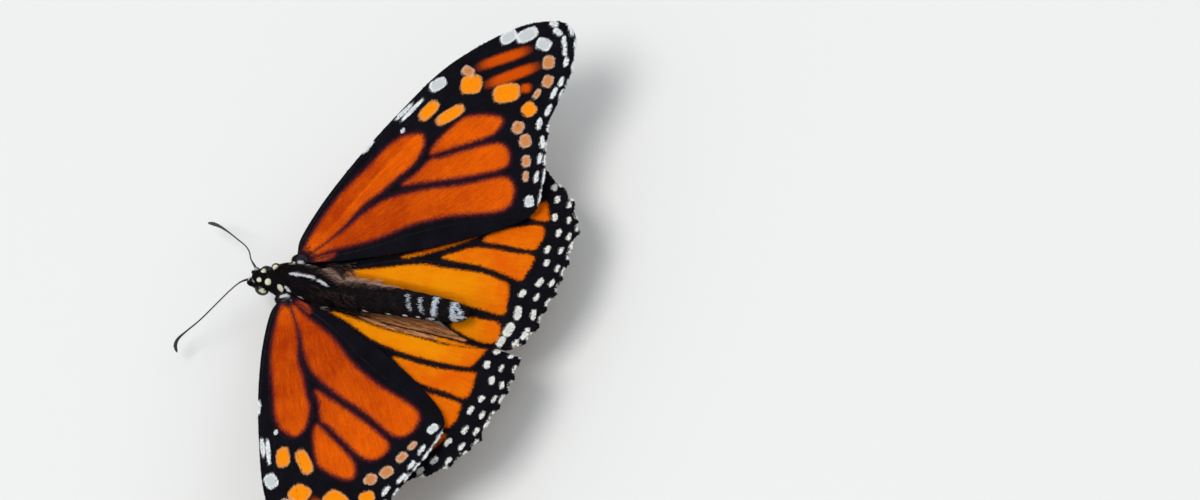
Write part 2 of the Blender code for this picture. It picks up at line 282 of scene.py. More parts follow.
# %% Wing charts
FOREWING_POSE = {
    "right": ((-3.2, -0.4, 1.2), 7.0, -2.7, 34.5),
    "left": ((3.5, -0.2, 1.15), 6.3, -5.2, 35.8),
}
HINDWING_POSE = {
    "right": ((-2.7, 3.4, -0.15), 7.9, -2.9, 84.8),
    "left": ((2.4, 3.1, -0.15), 11.6, -3.2, 82.0),
}
FOREWING_CAMBER = (-0.004, -0.125, -0.138)
HINDWING_CAMBER = (-0.037, -0.504, 0.096)
CAMBER_UNIT = 50.0
FOLD_DEPTH, FOLD_REMAINS, FOLD_WIDTH = 2.45, 0.5, 1.9
TUCK_DEPTH = 1.4


def smooth_step(x):
    """0 below 0, 1 above 1, and a soft step in between."""
    t = np.clip(x, 0.0, 1.0)
    return t * t * (3 - 2 * t)


def bend(camber, u, v):
    """Height of a gently bowed sheet."""
    spanwise, chordwise, twist = camber
    return (spanwise * u * u + chordwise * v * v + twist * u * v) / CAMBER_UNIT


def forewing_height(u, v):
    """The forewing only bows."""
    return bend(FOREWING_CAMBER, u, v)


def hindwing_height(u, v):
    """The inner strip dips beside and under the abdomen, less so behind it."""
    behind = smooth_step((u - 12.0) / 15.0)
    depth = FOLD_REMAINS + (FOLD_DEPTH - FOLD_REMAINS) * (1 - behind)
    return bend(HINDWING_CAMBER, u, v) - depth * smooth_step((v + 0.8 - 0.09 * u) / FOLD_WIDTH)


def tucked_height(u, v):
    """The left hindwing, whose inner lobe passes under the right one's."""
    under = smooth_step((v - 2.7) / 1.3) * smooth_step((u - 17.0) / 5.0)
    return hindwing_height(u, v) - TUCK_DEPTH * under


def held_axes(pose, sign):
    """The wing's hinge and its three axes: hinge to tip, left-hand side, and out of the upper side."""
    hinge, *angles = pose
    raised, pitched, swept = (math.radians(a) for a in angles)
    outward = Vector((sign * math.cos(raised), 0.0, math.sin(raised)))
    backward = Vector((0.0, math.cos(pitched), -math.sin(pitched)))
    backward = (backward - outward * outward.dot(backward)).normalized()
    length = math.cos(swept) * outward + math.sin(swept) * backward
    hindward = math.cos(swept) * backward - math.sin(swept) * outward
    upper = length.cross(hindward) * sign
    return np.array(hinge), np.array((length, upper.cross(length), upper))


def on_wing(wing, u, v, lift=0.0):
    """Datum places of chart places, lifted off the wing's mid-sheet along its own normal."""
    step = 0.05
    height, sign = wing["height"], wing["sign"]
    z = height(u, v)
    slope_u, slope_v = (height(u + step, v) - z) / step, (height(u, v + step) - z) / step
    normal = unit(np.stack([-slope_u, -sign * slope_v, np.ones_like(u)], 1))
    local = np.stack([u, sign * v, z], 1) + normal * np.broadcast_to(lift, u.shape)[:, None]
    return wing["hinge"] + local @ wing["axes"]


# %% [markdown]
# ## Outlines
#
# The outer margins are scalloped: each vein ends in a small point, and the edge draws in
# between two veins. The charts below hold only the points that this shape needs, and a smooth
# curve runs through them. The inner lobe of the left hindwing is tucked under the right one.

# %% Wing outlines
FOREWING_OUTLINE = [
    (-1.6, -0.2), (-0.3, -1.0), (1.6, -2.7), (7.5, -4.8), (15.2, -6.4), (23.6, -7.4), (31.6, -7.8),
    (38.2, -6.7), (44.4, -4.6), (48.2, -2.0), (49.7, 0.3), (49.1, 2.8), (47.9, 3.8), (46.4, 5.5),
    (45.0, 6.3), (43.4, 7.3), (42.4, 7.5), (40.9, 8.4), (39.0, 9.3), (37.9, 10.6), (36.2, 12.2),
    (35.1, 13.5), (33.7, 15.2), (32.2, 16.4), (31.2, 17.4), (29.2, 18.3), (26.2, 17.8), (20.0, 15.0),
    (12.1, 10.4), (4.5, 5.0), (0.9, 1.9), (-1.2, 0.8),
]
HINDWING_OUTLINE = [
    (7.8, -11.4), (14.0, -16.3), (20.5, -19.5), (25.2, -20.2), (27.3, -19.4), (29.0, -17.9),
    (31.0, -16.9), (32.2, -15.6), (33.4, -15.0), (34.0, -13.3), (35.2, -12.0), (35.4, -10.9),
    (36.2, -10.1), (35.6, -8.8), (36.0, -7.6), (35.7, -6.4), (36.3, -5.2), (35.8, -3.8), (36.2, -2.6),
    (35.6, -1.4), (35.9, -0.4), (35.0, 0.8), (35.1, 2.0), (34.3, 3.3),
]
HINDWING_INNER = {
    "right": [
        (34.3, 4.6), (33.2, 5.8), (32.7, 7.1), (31.4, 7.6), (30.4, 8.2), (28.0, 7.9), (24.0, 7.2),
        (20.6, 6.0), (17.4, 4.4), (13.0, 3.6), (8.0, 3.1), (3.6, 2.9), (0.6, 2.5), (-1.8, 1.8),
        (-3.6, 0.2), (-3.6, -1.8), (-1.4, -3.2), (1.4, -4.6)],
    "left": [
        (32.6, 3.3), (30.5, 3.6), (28.0, 4.1), (25.0, 4.4), (21.0, 4.4), (17.4, 4.4), (13.0, 4.1),
        (8.0, 3.5), (3.6, 3.3), (0.6, 3.0), (-1.4, 2.2), (-2.4, 0.6), (-2.2, -1.4), (0.2, -3.4),
        (2.4, -5.4)],
}

WINGS = {}


def add_wing(kind, side, pose, outline, height):
    """Notes all that the later steps need to know of one wing."""
    hinge, axes = held_axes(pose[side], SIDES[side])
    outline = smooth(outline, 6, closed=True)
    WINGS[f"{kind}_{side}"] = {"kind": kind, "side": side, "sign": SIDES[side], "hinge": hinge,
                               "axes": axes, "height": height, "outline": outline}
    ahead = np.roll(outline, -1, 0)
    area = 0.5 * abs(np.sum(outline[:, 0] * ahead[:, 1] - outline[:, 1] * ahead[:, 0]))
    print(kind, side, "area", round(area), "sq mm")


for side in SIDES:
    add_wing("forewing", side, FOREWING_POSE, FOREWING_OUTLINE, forewing_height)
    add_wing("hindwing", side, HINDWING_POSE, HINDWING_OUTLINE + HINDWING_INNER[side],
             tucked_height if side == "left" else hindwing_height)

# %% [markdown]
# ## Veins
#
# The veins are the wing's spars: hollow rods that fan out from the hinge, two of them joined
# at the far end of the long middle cell. They come first in the design, since the black bands
# of the pattern follow them.

# %% Vein lines
FOREWING_VEINS = [
    [(-0.8, -0.9), (1.6, -2.2), (7.5, -4.3), (15.2, -6.0), (23.6, -7.0), (31.6, -7.3), (38.2, -6.2),
     (44.2, -4.2)],
    [(-0.4, -0.6), (2.6, -1.95), (5.9, -3.1), (11.6, -4.3), (16.5, -4.9), (21.5, -5.0), (27.0, -5.6),
     (33.0, -5.9), (39.5, -5.2)],
    [(21.5, -5.0), (26.0, -5.1), (31.0, -5.0), (38.0, -4.6), (46.6, -3.0)],
    [(24.5, -3.6), (30.0, -3.2), (35.0, -3.3), (41.0, -3.0), (48.9, -1.4)],
    [(24.3, -2.6), (31.5, -1.9), (36.0, -1.8), (41.5, 0.2), (48.8, 2.0)],
    [(23.9, -1.0), (29.0, -0.6), (34.5, 0.4), (39.0, 2.6), (46.0, 5.2)],
    [(21.5, 0.9), (23.6, 2.2), (27.1, 3.8), (30.3, 5.4), (34.0, 6.6), (42.0, 7.4)],
    [(14.5, 1.0), (17.5, 2.9), (19.8, 4.6), (22.8, 6.9), (26.0, 9.0), (30.3, 10.8), (35.6, 12.4)],
    [(-0.4, 0.1), (2.0, 0.55), (5.0, 0.9), (8.0, 1.0), (11.0, 0.75), (14.5, 1.0), (18.0, 1.2),
     (21.5, 0.9), (23.4, -0.2), (24.3, -2.6), (23.3, -4.0), (21.5, -5.0)],
    [(-0.3, 0.6), (3.0, 2.8), (8.5, 6.2), (14.3, 8.9), (19.5, 11.8), (24.0, 15.0), (28.2, 17.4)],
]
HINDWING_VEINS = [
    [(0.4, -1.2), (2.8, -4.6), (8.0, -10.8), (14.0, -15.6), (20.5, -18.8), (26.5, -19.0)],
    [(0.2, -0.8), (6.0, -4.0), (12.0, -8.0), (18.0, -11.5), (24.0, -14.5), (31.6, -15.8)],
    [(10.0, -5.6), (16.0, -7.8), (21.6, -8.6), (25.5, -10.2), (29.5, -11.0), (34.4, -12.4)],
    [(0.0, -0.3), (6.0, -2.2), (11.0, -3.4), (17.4, -5.2), (21.6, -6.5), (27.0, -6.2), (31.4, -6.2),
     (36.0, -7.8)],
    [(21.6, -8.6), (21.9, -7.4), (21.6, -6.5)],
    [(30.6, -10.6), (33.0, -10.8), (35.9, -10.0)],
    [(0.0, 0.0), (5.0, -1.1), (11.0, -2.6), (17.4, -3.0), (22.8, -2.8), (27.0, -2.0), (30.6, -1.3),
     (36.0, -0.9)],
    [(30.6, -1.3), (33.0, -3.0), (36.0, -4.6)],
    [(0.0, 0.3), (3.2, 1.7), (8.0, 2.05), (15.0, 2.1), (21.4, 2.6), (25.4, 3.6), (29.4, 4.2),
     (34.0, 4.4)],
]

# %% [markdown]
# ## Markings of the forewing
#
# The orange cells are what the black bands leave open. Past the middle the wing turns black,
# with amber patches, rust streaks towards the tip, a row of peach spots and two rows of white
# ones along the margin. Each is a loop or a spot in the wing's chart.

# %% Forewing chart of markings
FOREWING_CELLS = [
    [(0.5, -0.5), (1.5, -1.15), (3.1, -1.85), (5.9, -2.8), (9.0, -3.5), (11.6, -3.8), (15.4, -4.0),
     (18.4, -4.3), (21.2, -4.0), (23.2, -2.8), (23.8, -1.8), (22.8, -0.5), (20.1, 0.5), (17.5, 0.4),
     (14.5, 0.4), (11.0, 0.1), (7.5, 0.6), (4.6, 0.75), (1.9, 0.6)],
    [(23.2, 1.1), (25.0, 0.4), (29.4, 0.3), (31.2, 1.2), (33.4, 3.2), (33.9, 4.6), (32.3, 5.2),
     (30.5, 4.8), (27.5, 3.4), (24.5, 1.9)],
    [(17.4, 1.9), (19.6, 2.1), (22.6, 1.9), (23.9, 2.8), (26.6, 4.1), (29.8, 5.8), (31.6, 7.2),
     (31.8, 8.8), (30.9, 10.1), (29.6, 10.1), (27.0, 8.7), (23.2, 6.2), (19.6, 3.6)],
    [(0.8, 0.6), (2.4, 0.72), (4.6, 0.9), (7.0, 1.3), (10.1, 1.3), (13.5, 1.8), (16.3, 3.1),
     (19.9, 5.3), (22.3, 7.1), (24.9, 8.8), (28.3, 10.8), (29.4, 12.0), (29.3, 13.4), (28.5, 14.4),
     (27.2, 15.1), (25.7, 14.8), (23.4, 13.2), (20.2, 10.7), (16.5, 8.4), (14.0, 7.2), (11.0, 6.1),
     (8.9, 5.2), (6.2, 3.65), (3.6, 2.1), (1.9, 1.3)],
    [(1.0, 1.55), (2.4, 2.25), (3.7, 3.0), (3.0, 3.05), (1.8, 2.5)],
]
FOREWING_RUST = [(39.6, -2.6, 5.9, 1.25, 25), (39.0, 0.3, 6.1, 1.35, 23), (39.3, 3.2, 1.2, 1.0, 40)]
FOREWING_AMBER = [
    (26.7, -4.3, 3.3, 1.9, -3), (28.7, -1.5, 4.4, 1.75, 12), (33.7, -2.9, 3.2, 2.7, 40),
    (36.8, 1.8, 3.9, 2.7, 34), (37.8, 6.0, 2.0, 2.1, 0),
]
FOREWING_PEACH = row_of_spots([
    (44.1, 2.5, 1.9, 1.7), (42.3, 4.6, 1.7, 1.5), (40.0, 5.0, 1.4, 0.8), (35.0, 7.0, 1.7, 1.7),
    (34.6, 9.3, 1.9, 1.6), (32.9, 11.7, 1.7, 1.2), (31.5, 13.4, 1.4, 0.8)], 1.7, 1.5)
FOREWING_PEACH += [(34.5, -4.8, 2.0, 1.3, 70)]
FOREWING_WHITE = [
    (29.7, 16.6, 1.6, 1.2, 125), (22.0, -4.7, 0.7, 0.6, 0), (16.8, -6.5, 2.2, 0.6, -10),
    (23.8, -6.9, 3.0, 0.55, -3), (24.9, -6.2, 4.0, 0.55, -4), (30.0, -6.5, 2.6, 1.7, 15),
    (42.0, -4.6, 2.5, 1.7, 15), (44.2, -2.9, 3.2, 1.8, 20), (45.2, -0.1, 2.2, 1.7, 60),
    (48.1, -1.4, 1.3, 0.7, 60), (47.8, -0.1, 1.4, 0.8, 75),
]
FOREWING_WHITE += row_of_spots([
    (47.6, 1.7, 1.6, 0.6), (46.8, 2.9, 1.2, 0.5), (46.0, 4.2, 1.25, 0.6), (43.7, 6.0, 1.3, 0.58),
    (41.9, 6.6, 1.6, 0.58), (39.8, 8.0, 1.5, 0.66), (37.6, 8.7, 1.5, 0.66), (36.3, 11.1, 1.6, 0.6),
    (34.6, 12.7, 1.5, 0.55), (32.6, 14.5, 1.5, 0.52)], 1.5, 0.6)
FOREWING_FRINGE = row_of_spots([
    (49.5, 0.6, 2.4, 0.5), (48.5, 3.3, 1.6, 0.45), (46.5, 5.3, 1.4, 0.45), (44.4, 6.8, 1.4, 0.45),
    (42.6, 7.4, 1.3, 0.4), (38.5, 9.9, 1.6, 0.45), (36.5, 11.9, 1.4, 0.45), (35.1, 13.4, 1.4, 0.45),
    (33.4, 15.3, 2.6, 0.45), (31.3, 17.2, 2.4, 0.4)], 1.4, 0.45)
FOREWING_CREASE = smooth([(1.0, -0.1), (6.0, -0.6), (12.0, -1.5), (18.0, -2.2), (23.0, -2.6)], 6)

# %% [markdown]
# ## Markings of the hindwing
#
# The hindwing is more amber, its bands are thinner and its border carries two even rows of
# white spots. Beside the abdomen a thin strip of bare-looking buff membrane folds down.

# %% Hindwing chart of markings
HINDWING_CELLS = [
    [(29.1, -14.2), (30.3, -12.7), (30.8, -11.2), (28.5, -11.2), (27.0, -12.2)],
    [(22.5, -6.9), (22.9, -8.1), (24.6, -9.1), (27.4, -9.9), (30.3, -10.3), (31.1, -8.8), (30.9, -7.7),
     (30.3, -6.5), (25.6, -6.7)],
    [(17.1, -3.9), (19.1, -4.8), (21.1, -5.7), (24.2, -5.9), (27.4, -5.7), (30.6, -5.6), (30.9, -4.2),
     (30.2, -2.0), (29.6, -1.7), (27.0, -2.4), (22.8, -3.2), (18.0, -3.5)],
    [(23.2, 4.2), (25.6, 4.3), (28.2, 4.6), (28.7, 6.4), (28.2, 7.3), (26.4, 7.6), (23.1, 6.7),
     (20.5, 5.4)],
    [(11.0, -3.3), (16.0, -5.3), (21.2, -7.6), (20.8, -7.0), (16.2, -4.7), (12.0, -3.1)],
    [(13.0, -6.6), (17.0, -8.0), (21.0, -9.0), (24.2, -10.6), (26.4, -13.0), (23.0, -13.6),
     (17.5, -11.0), (13.5, -8.2)],
    [(5.0, -3.2), (9.0, -4.6), (14.0, -6.4), (19.4, -8.2), (20.6, -7.7), (16.0, -5.9), (10.5, -3.8),
     (7.0, -2.9)],
    [(9.0, -7.0), (13.0, -9.8), (18.0, -12.6), (24.0, -15.6), (27.0, -17.0), (24.0, -17.8),
     (17.0, -15.4), (11.0, -10.6)],
]
MIDDLE_CELL = {
    "right": [(2.1, 0.1), (8.2, -1.2), (14.2, -2.4), (17.4, -2.3), (23.8, -2.1), (27.1, -1.4), (28.3, -0.9),
              (28.9, 1.3), (28.6, 3.3), (25.4, 3.0), (21.2, 2.4), (15.0, 2.0), (8.0, 2.0), (3.2, 1.7)],
    "left": [(2.6, -0.7), (6.7, -1.1), (12.3, -2.4), (17.7, -2.6), (21.1, -2.4), (24.3, -2.0), (28.2, -1.3),
             (28.9, -0.6), (29.3, 1.7), (28.9, 2.2), (25.5, 1.2), (21.4, 0.7), (16.9, 0.3),
             (12.5, -0.1),
             (8.0, -0.2), (4.5, -0.3)],
}
FOLD_STRIPS = {
    "right": [[(6.0, 2.2), (10.0, 2.6), (14.0, 3.0), (14.0, 3.6), (10.0, 3.3), (6.0, 2.9)]],
    "left": [
        [(6.5, 1.9), (9.5, 1.6), (12.5, 1.0), (14.6, 1.3), (16.4, 1.5), (18.4, 1.65), (20.6, 1.85),
         (22.8, 2.1),
         (25.4, 2.3), (24.6, 2.9), (21.0, 4.4), (17.4, 4.5), (13.0, 4.2), (8.0, 3.6), (5.0, 3.1)],
        [(7.6, 0.3), (12.5, 0.0), (14.8, 0.15), (16.9, 0.4), (19.1, 0.65), (21.4, 0.85),
         (20.6, 1.3), (18.4, 1.1),
         (16.4, 0.95), (14.6, 0.65), (12.5, 0.4), (9.0, 0.9)]],
}
FOLD_LINES = [smooth(line, 4) for line in (
    [(4.0, 1.2), (6.3, 1.55), (8.6, 1.4), (10.4, 0.95), (12.5, 0.62), (14.6, 0.91), (18.4, 1.34),
     (22.8, 1.80), (28.6, 2.25)],
    [(6.0, -0.2), (12.5, -0.21), (14.8, -0.06), (16.9, 0.21), (19.1, 0.44), (23.6, 0.79)],
    [(11.0, 3.1), (15.0, 3.2), (20.0, 2.9), (25.0, 3.0)],
)]
FOLD_HALF_WIDTHS = (0.20, 0.11, 0.07)
FOLD_GLEAM = [(20.4, 0.9), (23.6, 1.0), (25.5, 1.3), (28.6, 2.1), (24.3, 1.75), (20.4, 1.4)]
HINDWING_WHITE = row_of_spots([
    (29.5, -16.7), (30.8, -14.8), (31.6, -11.9), (33.1, -9.6), (32.4, -6.8), (33.0, -4.8, 0.95, 0.7),
    (32.9, -1.8, 1.25, 0.75), (30.8, 0.1, 1.2, 0.8), (30.8, 2.9, 1.8, 1.0), (29.9, 5.3, 2.0, 1.25),
    (29.1, 7.1, 1.5, 0.95)], 1.15, 0.65)
HINDWING_WHITE += row_of_spots([
    (32.9, -14.2), (33.8, -11.8), (34.8, -9.2), (34.4, -6.9), (34.8, -4.2), (34.7, -1.9), (33.1, 0.4),
    (33.2, 2.9, 1.35, 0.7), (32.5, 5.6, 1.7, 0.7), (31.3, 7.0)], 1.05, 0.5)
HINDWING_FRINGE = row_of_spots([
    (30.0, -17.4), (32.7, -15.4), (34.6, -12.7), (35.5, -10.8), (35.7, -7.9), (35.8, -6.4),
    (35.8, -3.8),
    (35.8, -1.4), (35.0, 0.9), (34.4, 3.3), (33.2, 5.9), (31.6, 7.6)], 1.2, 0.45)


ROOT_REACH = 6.0  # the streaks of a wing fan out from a point this far behind its hinge


def lines_depth(u, v, lines, half_widths):
    """How far each place is from the nearest of several lines, less that line's half width."""
    away = np.full(len(u), -FAR)
    for line, half_width in zip(lines, half_widths):
        away = np.minimum(away, line_distance(u, v, line) - half_width)
    return away


def forewing_markings(u, v, side, along):
    """The forewing's depths and how bright its orange is. Along is the distance from the root."""
    cell = np.minimum(loop_depth(u, v, FOREWING_CELLS),
                      lines_depth(u, v, [smooth(vein, 4) for vein in FOREWING_VEINS[8:]], (0.08, 0.08)))
    crease = line_distance(u, v, FOREWING_CREASE)
    below = np.interp(u, FOREWING_CREASE[:, 0], FOREWING_CREASE[:, 1]) < v
    # Painted light: the hind half of the long middle cell is brightened and a pale line runs along its
    # crease, where the fold catches the light; the right forewing gets it in full, the left only a fifth.
    painted_crease_light = np.where(below & (v < 0.6), 0.36, 0.0) + 0.22 * np.exp(-(crease / 0.30) ** 2) * (cell > 0)
    painted_crease_light *= (0.40 + 0.60 * smooth_step((along - 9) / 8)) * (1.0 if side == "right" else 0.2)
    base = 0.42 * (1 - smooth_step((along - 7.5) / 4.0))
    return {"cell": cell, "warmth": 0.12 + 0.68 * smooth_step((along - 12) / 32) + base + painted_crease_light,
            "rust": spot_depth(u, v, FOREWING_RUST), "amber": spot_depth(u, v, FOREWING_AMBER),
            "peach": spot_depth(u, v, FOREWING_PEACH),
            "white": spot_depth(u, v, FOREWING_WHITE + FOREWING_FRINGE)}


def hindwing_markings(u, v, side):
    """The hindwing's depths and how bright its orange is."""
    cell = loop_depth(u, v, HINDWING_CELLS + [MIDDLE_CELL[side]] + [FOLD_GLEAM] * (side == "left"))
    creases = lines_depth(u, v, FOLD_LINES, FOLD_HALF_WIDTHS)
    warmth = 0.95 - 0.68 * smooth_step((-v - 0.5) / 4.5) - 0.75 * smooth_step((u - 21.5) / 7)
    return {"cell": np.minimum(cell, creases) if side == "left" else cell,
            "warmth": np.maximum(warmth, 0.14),
            "fold": np.minimum(loop_depth(u, v, FOLD_STRIPS[side]), creases),
            "white": spot_depth(u, v, HINDWING_WHITE + HINDWING_FRINGE)}


def wing_markings(wing, u, v):
    """All that the finish needs to know about places on a wing's chart."""
    along, turned = np.hypot(u + ROOT_REACH, v), np.arctan2(v, u + ROOT_REACH)
    place = np.stack([along, turned * (ROOT_REACH + along / 2), np.zeros_like(u)], 1)
    found = {layer: np.full(len(u), FAR) for layer in ("fold", "rust", "amber", "peach")}
    if wing["kind"] == "forewing":
        found.update(forewing_markings(u, v, wing["side"], along))
    else:
        found.update(hindwing_markings(u, v, wing["side"]))
    return dict(found, place=place)


print("forewing spots:", len(FOREWING_AMBER + FOREWING_PEACH + FOREWING_WHITE))
print("hindwing spots:", len(HINDWING_WHITE))

# %% [markdown]
# ## A finish that reads the markings
#
# Materials in Blender are small graphs of nodes. This one reads the stored depths, frays each
# with a little noise, and lays one pigment over the other: black, a dark red rim, orange, then
# the pale spots. Helpers keep the graph short to write. Colours that hold for the whole
# surface, such as how rough it is, stay on the shader itself.

# %% Node helpers
def add(tree, kind, inputs, **settings):
    """Adds a node, sets its properties, and fills its inputs with values or other nodes' outputs."""
    node = tree.nodes.new(kind)
    for key, value in settings.items():
        setattr(node, key, value)
    for key, value in inputs.items():
        if isinstance(value, bpy.types.NodeSocket):
            tree.links.new(value, node.inputs[key])
        else:
            node.inputs[key].default_value = value
    return node


def stored(tree, name, output="Fac"):
    """A value that was stored on the mesh under this name."""
    return add(tree, "ShaderNodeAttribute", {}, attribute_name=name).outputs[output]


def sums(tree, operation, *values):
    """One step of arithmetic."""
    return add(tree, "ShaderNodeMath", dict(enumerate(values)), operation=operation).outputs[0]


def swayed(tree, value, by, amount, middle=0.5):
    """A value moved up and down by another one that runs from 0 to 1."""
    return sums(tree, "MULTIPLY_ADD", sums(tree, "SUBTRACT", by, middle), amount, value)


def noise(tree, place, scale, detail, stretch=(1.0, 1.0, 1.0)):
    """Soft noise that can be drawn out along one direction."""
    spread = add(tree, "ShaderNodeMapping", {"Vector": place, "Scale": stretch}).outputs[0]
    inputs = {"Vector": spread, "Scale": scale, "Detail": detail}
    return add(tree, "ShaderNodeTexNoise", inputs).outputs["Fac"]


def edge(tree, depth, start, end):
    """0 outside, 1 inside, with a soft step between two depths."""
    return add(tree, "ShaderNodeMapRange", {"Value": depth, "From Min": start, "From Max": end},
               interpolation_type="SMOOTHSTEP").outputs[0]


def blend(tree, share, first, second):
    """The first colour where the share is 0, the second where it is 1."""
    return add(tree, "ShaderNodeMix", {0: share, 6: first, 7: second}, data_type="RGBA").outputs[2]


def new_finish(name, roughness, specular):
    """A material, its graph and the shader at the graph's end."""
    made = bpy.data.materials.new(name)
    made.use_nodes = True
    shader = made.node_tree.nodes["Principled BSDF"]
    shader.inputs["Roughness"].default_value = roughness
    shader.inputs["Specular IOR Level"].default_value = specular
    return made, made.node_tree, shader


def bumped(tree, shader, height, strength, depth):
    """Makes the shader see a fine relief."""
    relief = add(tree, "ShaderNodeBump", {"Height": height, "Strength": strength, "Distance": depth})
    tree.links.new(relief.outputs[0], shader.inputs["Normal"])


def speckled(name, roughness, specular, scale, detail, dark, light):
    """A finish of two near colours mixed by fine noise, and where it is measured."""
    made, tree, shader = new_finish(name, roughness, specular)
    place = add(tree, "ShaderNodeTexCoord", {}).outputs["Object"]
    colour = blend(tree, noise(tree, place, scale, detail), dark, light)
    tree.links.new(colour, shader.inputs["Base Color"])
    return made, tree, shader, place


# %% Pigments and the wing finish
BLACK = (0.0035, 0.0030, 0.0046, 1)
BLUE_BLACK = (0.009, 0.009, 0.015, 1)
UPPER_FOREWING = {
    "deep": (0.40, 0.036, 0.001, 1), "bright": (0.82, 0.128, 0.001, 1), "rim": (0.075, 0.008, 0.014, 1),
    "rust": (0.60, 0.075, 0.001, 1), "amber": (0.90, 0.27, 0.003, 1), "amber_rim": (0.72, 0.30, 0.09, 1),
    "peach": (0.60, 0.23, 0.07, 1), "peach_rim": (0.62, 0.42, 0.30, 1),
    "white": (0.56, 0.59, 0.60, 1), "white_rim": (0.80, 0.83, 0.84, 1), "fold": (0.60, 0.27, 0.115, 1),
    "fold_deep": (0.22, 0.085, 0.030, 1),
}
UPPER_HINDWING = dict(UPPER_FOREWING, deep=(0.72, 0.112, 0.001, 1), bright=(0.83, 0.275, 0.001, 1),
                      rim=(0.05, 0.010, 0.004, 1), white=(0.62, 0.62, 0.58, 1),
                      white_rim=(0.82, 0.82, 0.78, 1))
UNDER_FOREWING = dict(UPPER_FOREWING, deep=(0.55, 0.10, 0.008, 1), bright=(0.80, 0.22, 0.02, 1),
                      rust=(0.62, 0.36, 0.14, 1), amber=(0.74, 0.40, 0.13, 1), peach=(0.78, 0.62, 0.40, 1))
UNDER_HINDWING = dict(UPPER_HINDWING, deep=(0.66, 0.34, 0.11, 1), bright=(0.74, 0.46, 0.18, 1),
                      rim=(0.05, 0.02, 0.01, 1), fold=(0.60, 0.42, 0.22, 1))


def wing_finish(name, pigments, softness):
    """Black ground, then the cells, then each kind of pale mark, all frayed by the same noise."""
    made, tree, shader = new_finish(name, roughness=0.70, specular=0.025)
    place = stored(tree, "place", "Vector")
    tile = stored(tree, "tile")
    frayed = noise(tree, place, 3.2, 4.0)
    streaks = noise(tree, place, 1.0, 4.0, stretch=(0.35, 5.0, 1.0))
    clouds = noise(tree, place, 0.35, 2.0)
    cell = swayed(tree, swayed(tree, stored(tree, "cell"), frayed, 0.55), tile, 0.16)
    warmth = swayed(tree, swayed(tree, stored(tree, "warmth"), streaks, 0.9), clouds, 0.8)
    warmth = add(tree, "ShaderNodeClamp", {"Value": swayed(tree, warmth, tile, 0.22)}).outputs[0]
    cloudy = sums(tree, "MULTIPLY", clouds, clouds)
    dark_share = sums(tree, "MULTIPLY", cloudy, sums(tree, "ADD", tile, 0.5))
    orange = blend(tree, warmth, pigments["deep"], pigments["bright"])
    colour = blend(tree, dark_share, BLACK, BLUE_BLACK)
    colour = blend(tree, edge(tree, cell, -0.38 * softness, -0.02), colour, pigments["rim"])
    colour = blend(tree, edge(tree, cell, -0.18 * softness, 0.28 * softness), colour, orange)
    for layer, soft in (("fold", 0.16), ("rust", 0.42), ("amber", 0.14), ("peach", 0.12), ("white", 0.08)):
        ragged = swayed(tree, stored(tree, layer), frayed, 0.22)
        paint = pigments[layer]
        if layer == "fold":
            paint = blend(tree, edge(tree, streaks, 0.38, 0.58), pigments["fold_deep"], paint)
        if layer + "_rim" in pigments:
            paint = blend(tree, edge(tree, ragged, 0.04, 0.30), pigments[layer + "_rim"], paint)
        colour = blend(tree, edge(tree, ragged, -soft, soft / 2), colour, paint)
    tree.links.new(colour, shader.inputs["Base Color"])
    bumped(tree, shader, noise(tree, place, 6.0, 2.0, stretch=(1.0, 1.4, 1.0)), 0.35, 0.00004)
    return made


WING_FINISH = {
    (kind, face): wing_finish(f"{kind}_{face}_scales", pigments, softness)
    for kind, face, pigments, softness in (
        ("forewing", "upper", UPPER_FOREWING, 1.9), ("forewing", "under", UNDER_FOREWING, 1.0),
        ("hindwing", "upper", UPPER_HINDWING, 1.0), ("hindwing", "under", UNDER_HINDWING, 1.0))
}
print("wing finishes:", [m.name for m in WING_FINISH.values()])

# %% [markdown]
# ## From arrays to meshes
#
# The coat holds tens of thousands of scales, so their points are worked out all at once as
# arrays, and one function turns an array of points and an array of triangles into a mesh. It
# also stores the markings on the mesh, and writes a bake map that gives each scale its own
# patch round its place on the skin.

# %% Mesh maker
def make_piece(name, points, triangles, finishes, slot, replaces=(), values=None, kinds=None,
               smooth_faces=True, bake_map=None):
    """A mesh from datum points, which rides on the root body. values are stored by name."""
    mesh = bpy.data.meshes.new(name)
    mesh.from_pydata(to_world(points).tolist(), [], np.asarray(triangles).tolist())
    for finish in finishes:
        mesh.materials.append(finish)
    if kinds is not None:
        mesh.polygons.foreach_set("material_index", np.asarray(kinds, np.int32))
    for key, value in (values or {}).items():
        kind, field = ("FLOAT_VECTOR", "vector") if np.ndim(value) == 2 else ("FLOAT", "value")
        layer = mesh.attributes.new(key, kind, "POINT")
        layer.data.foreach_set(field, np.asarray(value, np.float32).ravel())
    if bake_map is not None:
        corners = np.empty(len(mesh.loops), np.int32)
        mesh.loops.foreach_get("vertex_index", corners)
        layer = mesh.uv_layers.new(name="OFBake")
        layer.data.foreach_set("uv", np.asarray(bake_map, np.float32)[corners].ravel())
    if smooth_faces:
        mesh.shade_smooth()
    made = put_in_scene(name, mesh)
    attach(made, "root")
    if replaces:
        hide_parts(*replaces)
    return made


def tell(*pieces):
    """Prints the name and the size of new pieces."""
    for made in pieces:
        print(made.name, len(made.data.polygons), "triangles")


# %% [markdown]
# ## The wing membrane
#
# A wing is a closed sheet. Its chart is filled with an even net of triangles whose rim is the
# outline itself, which keeps the scalloped edge crisp. The net is copied to the upper and the
# under side, a membrane's thickness apart, and a narrow band closes the rim.

# %% Wing membranes
MEMBRANE = 0.10
NET_PITCH = 0.40


def even_line(line, pitch):
    """The closed line again, with points an even distance apart."""
    closed = np.vstack([line, line[:1]])
    reach = distances(closed)
    places = np.linspace(0, reach[-1], int(reach[-1] / pitch) + 1)[:-1]
    return np.stack([np.interp(places, reach, closed[:, 0]), np.interp(places, reach, closed[:, 1])], 1)


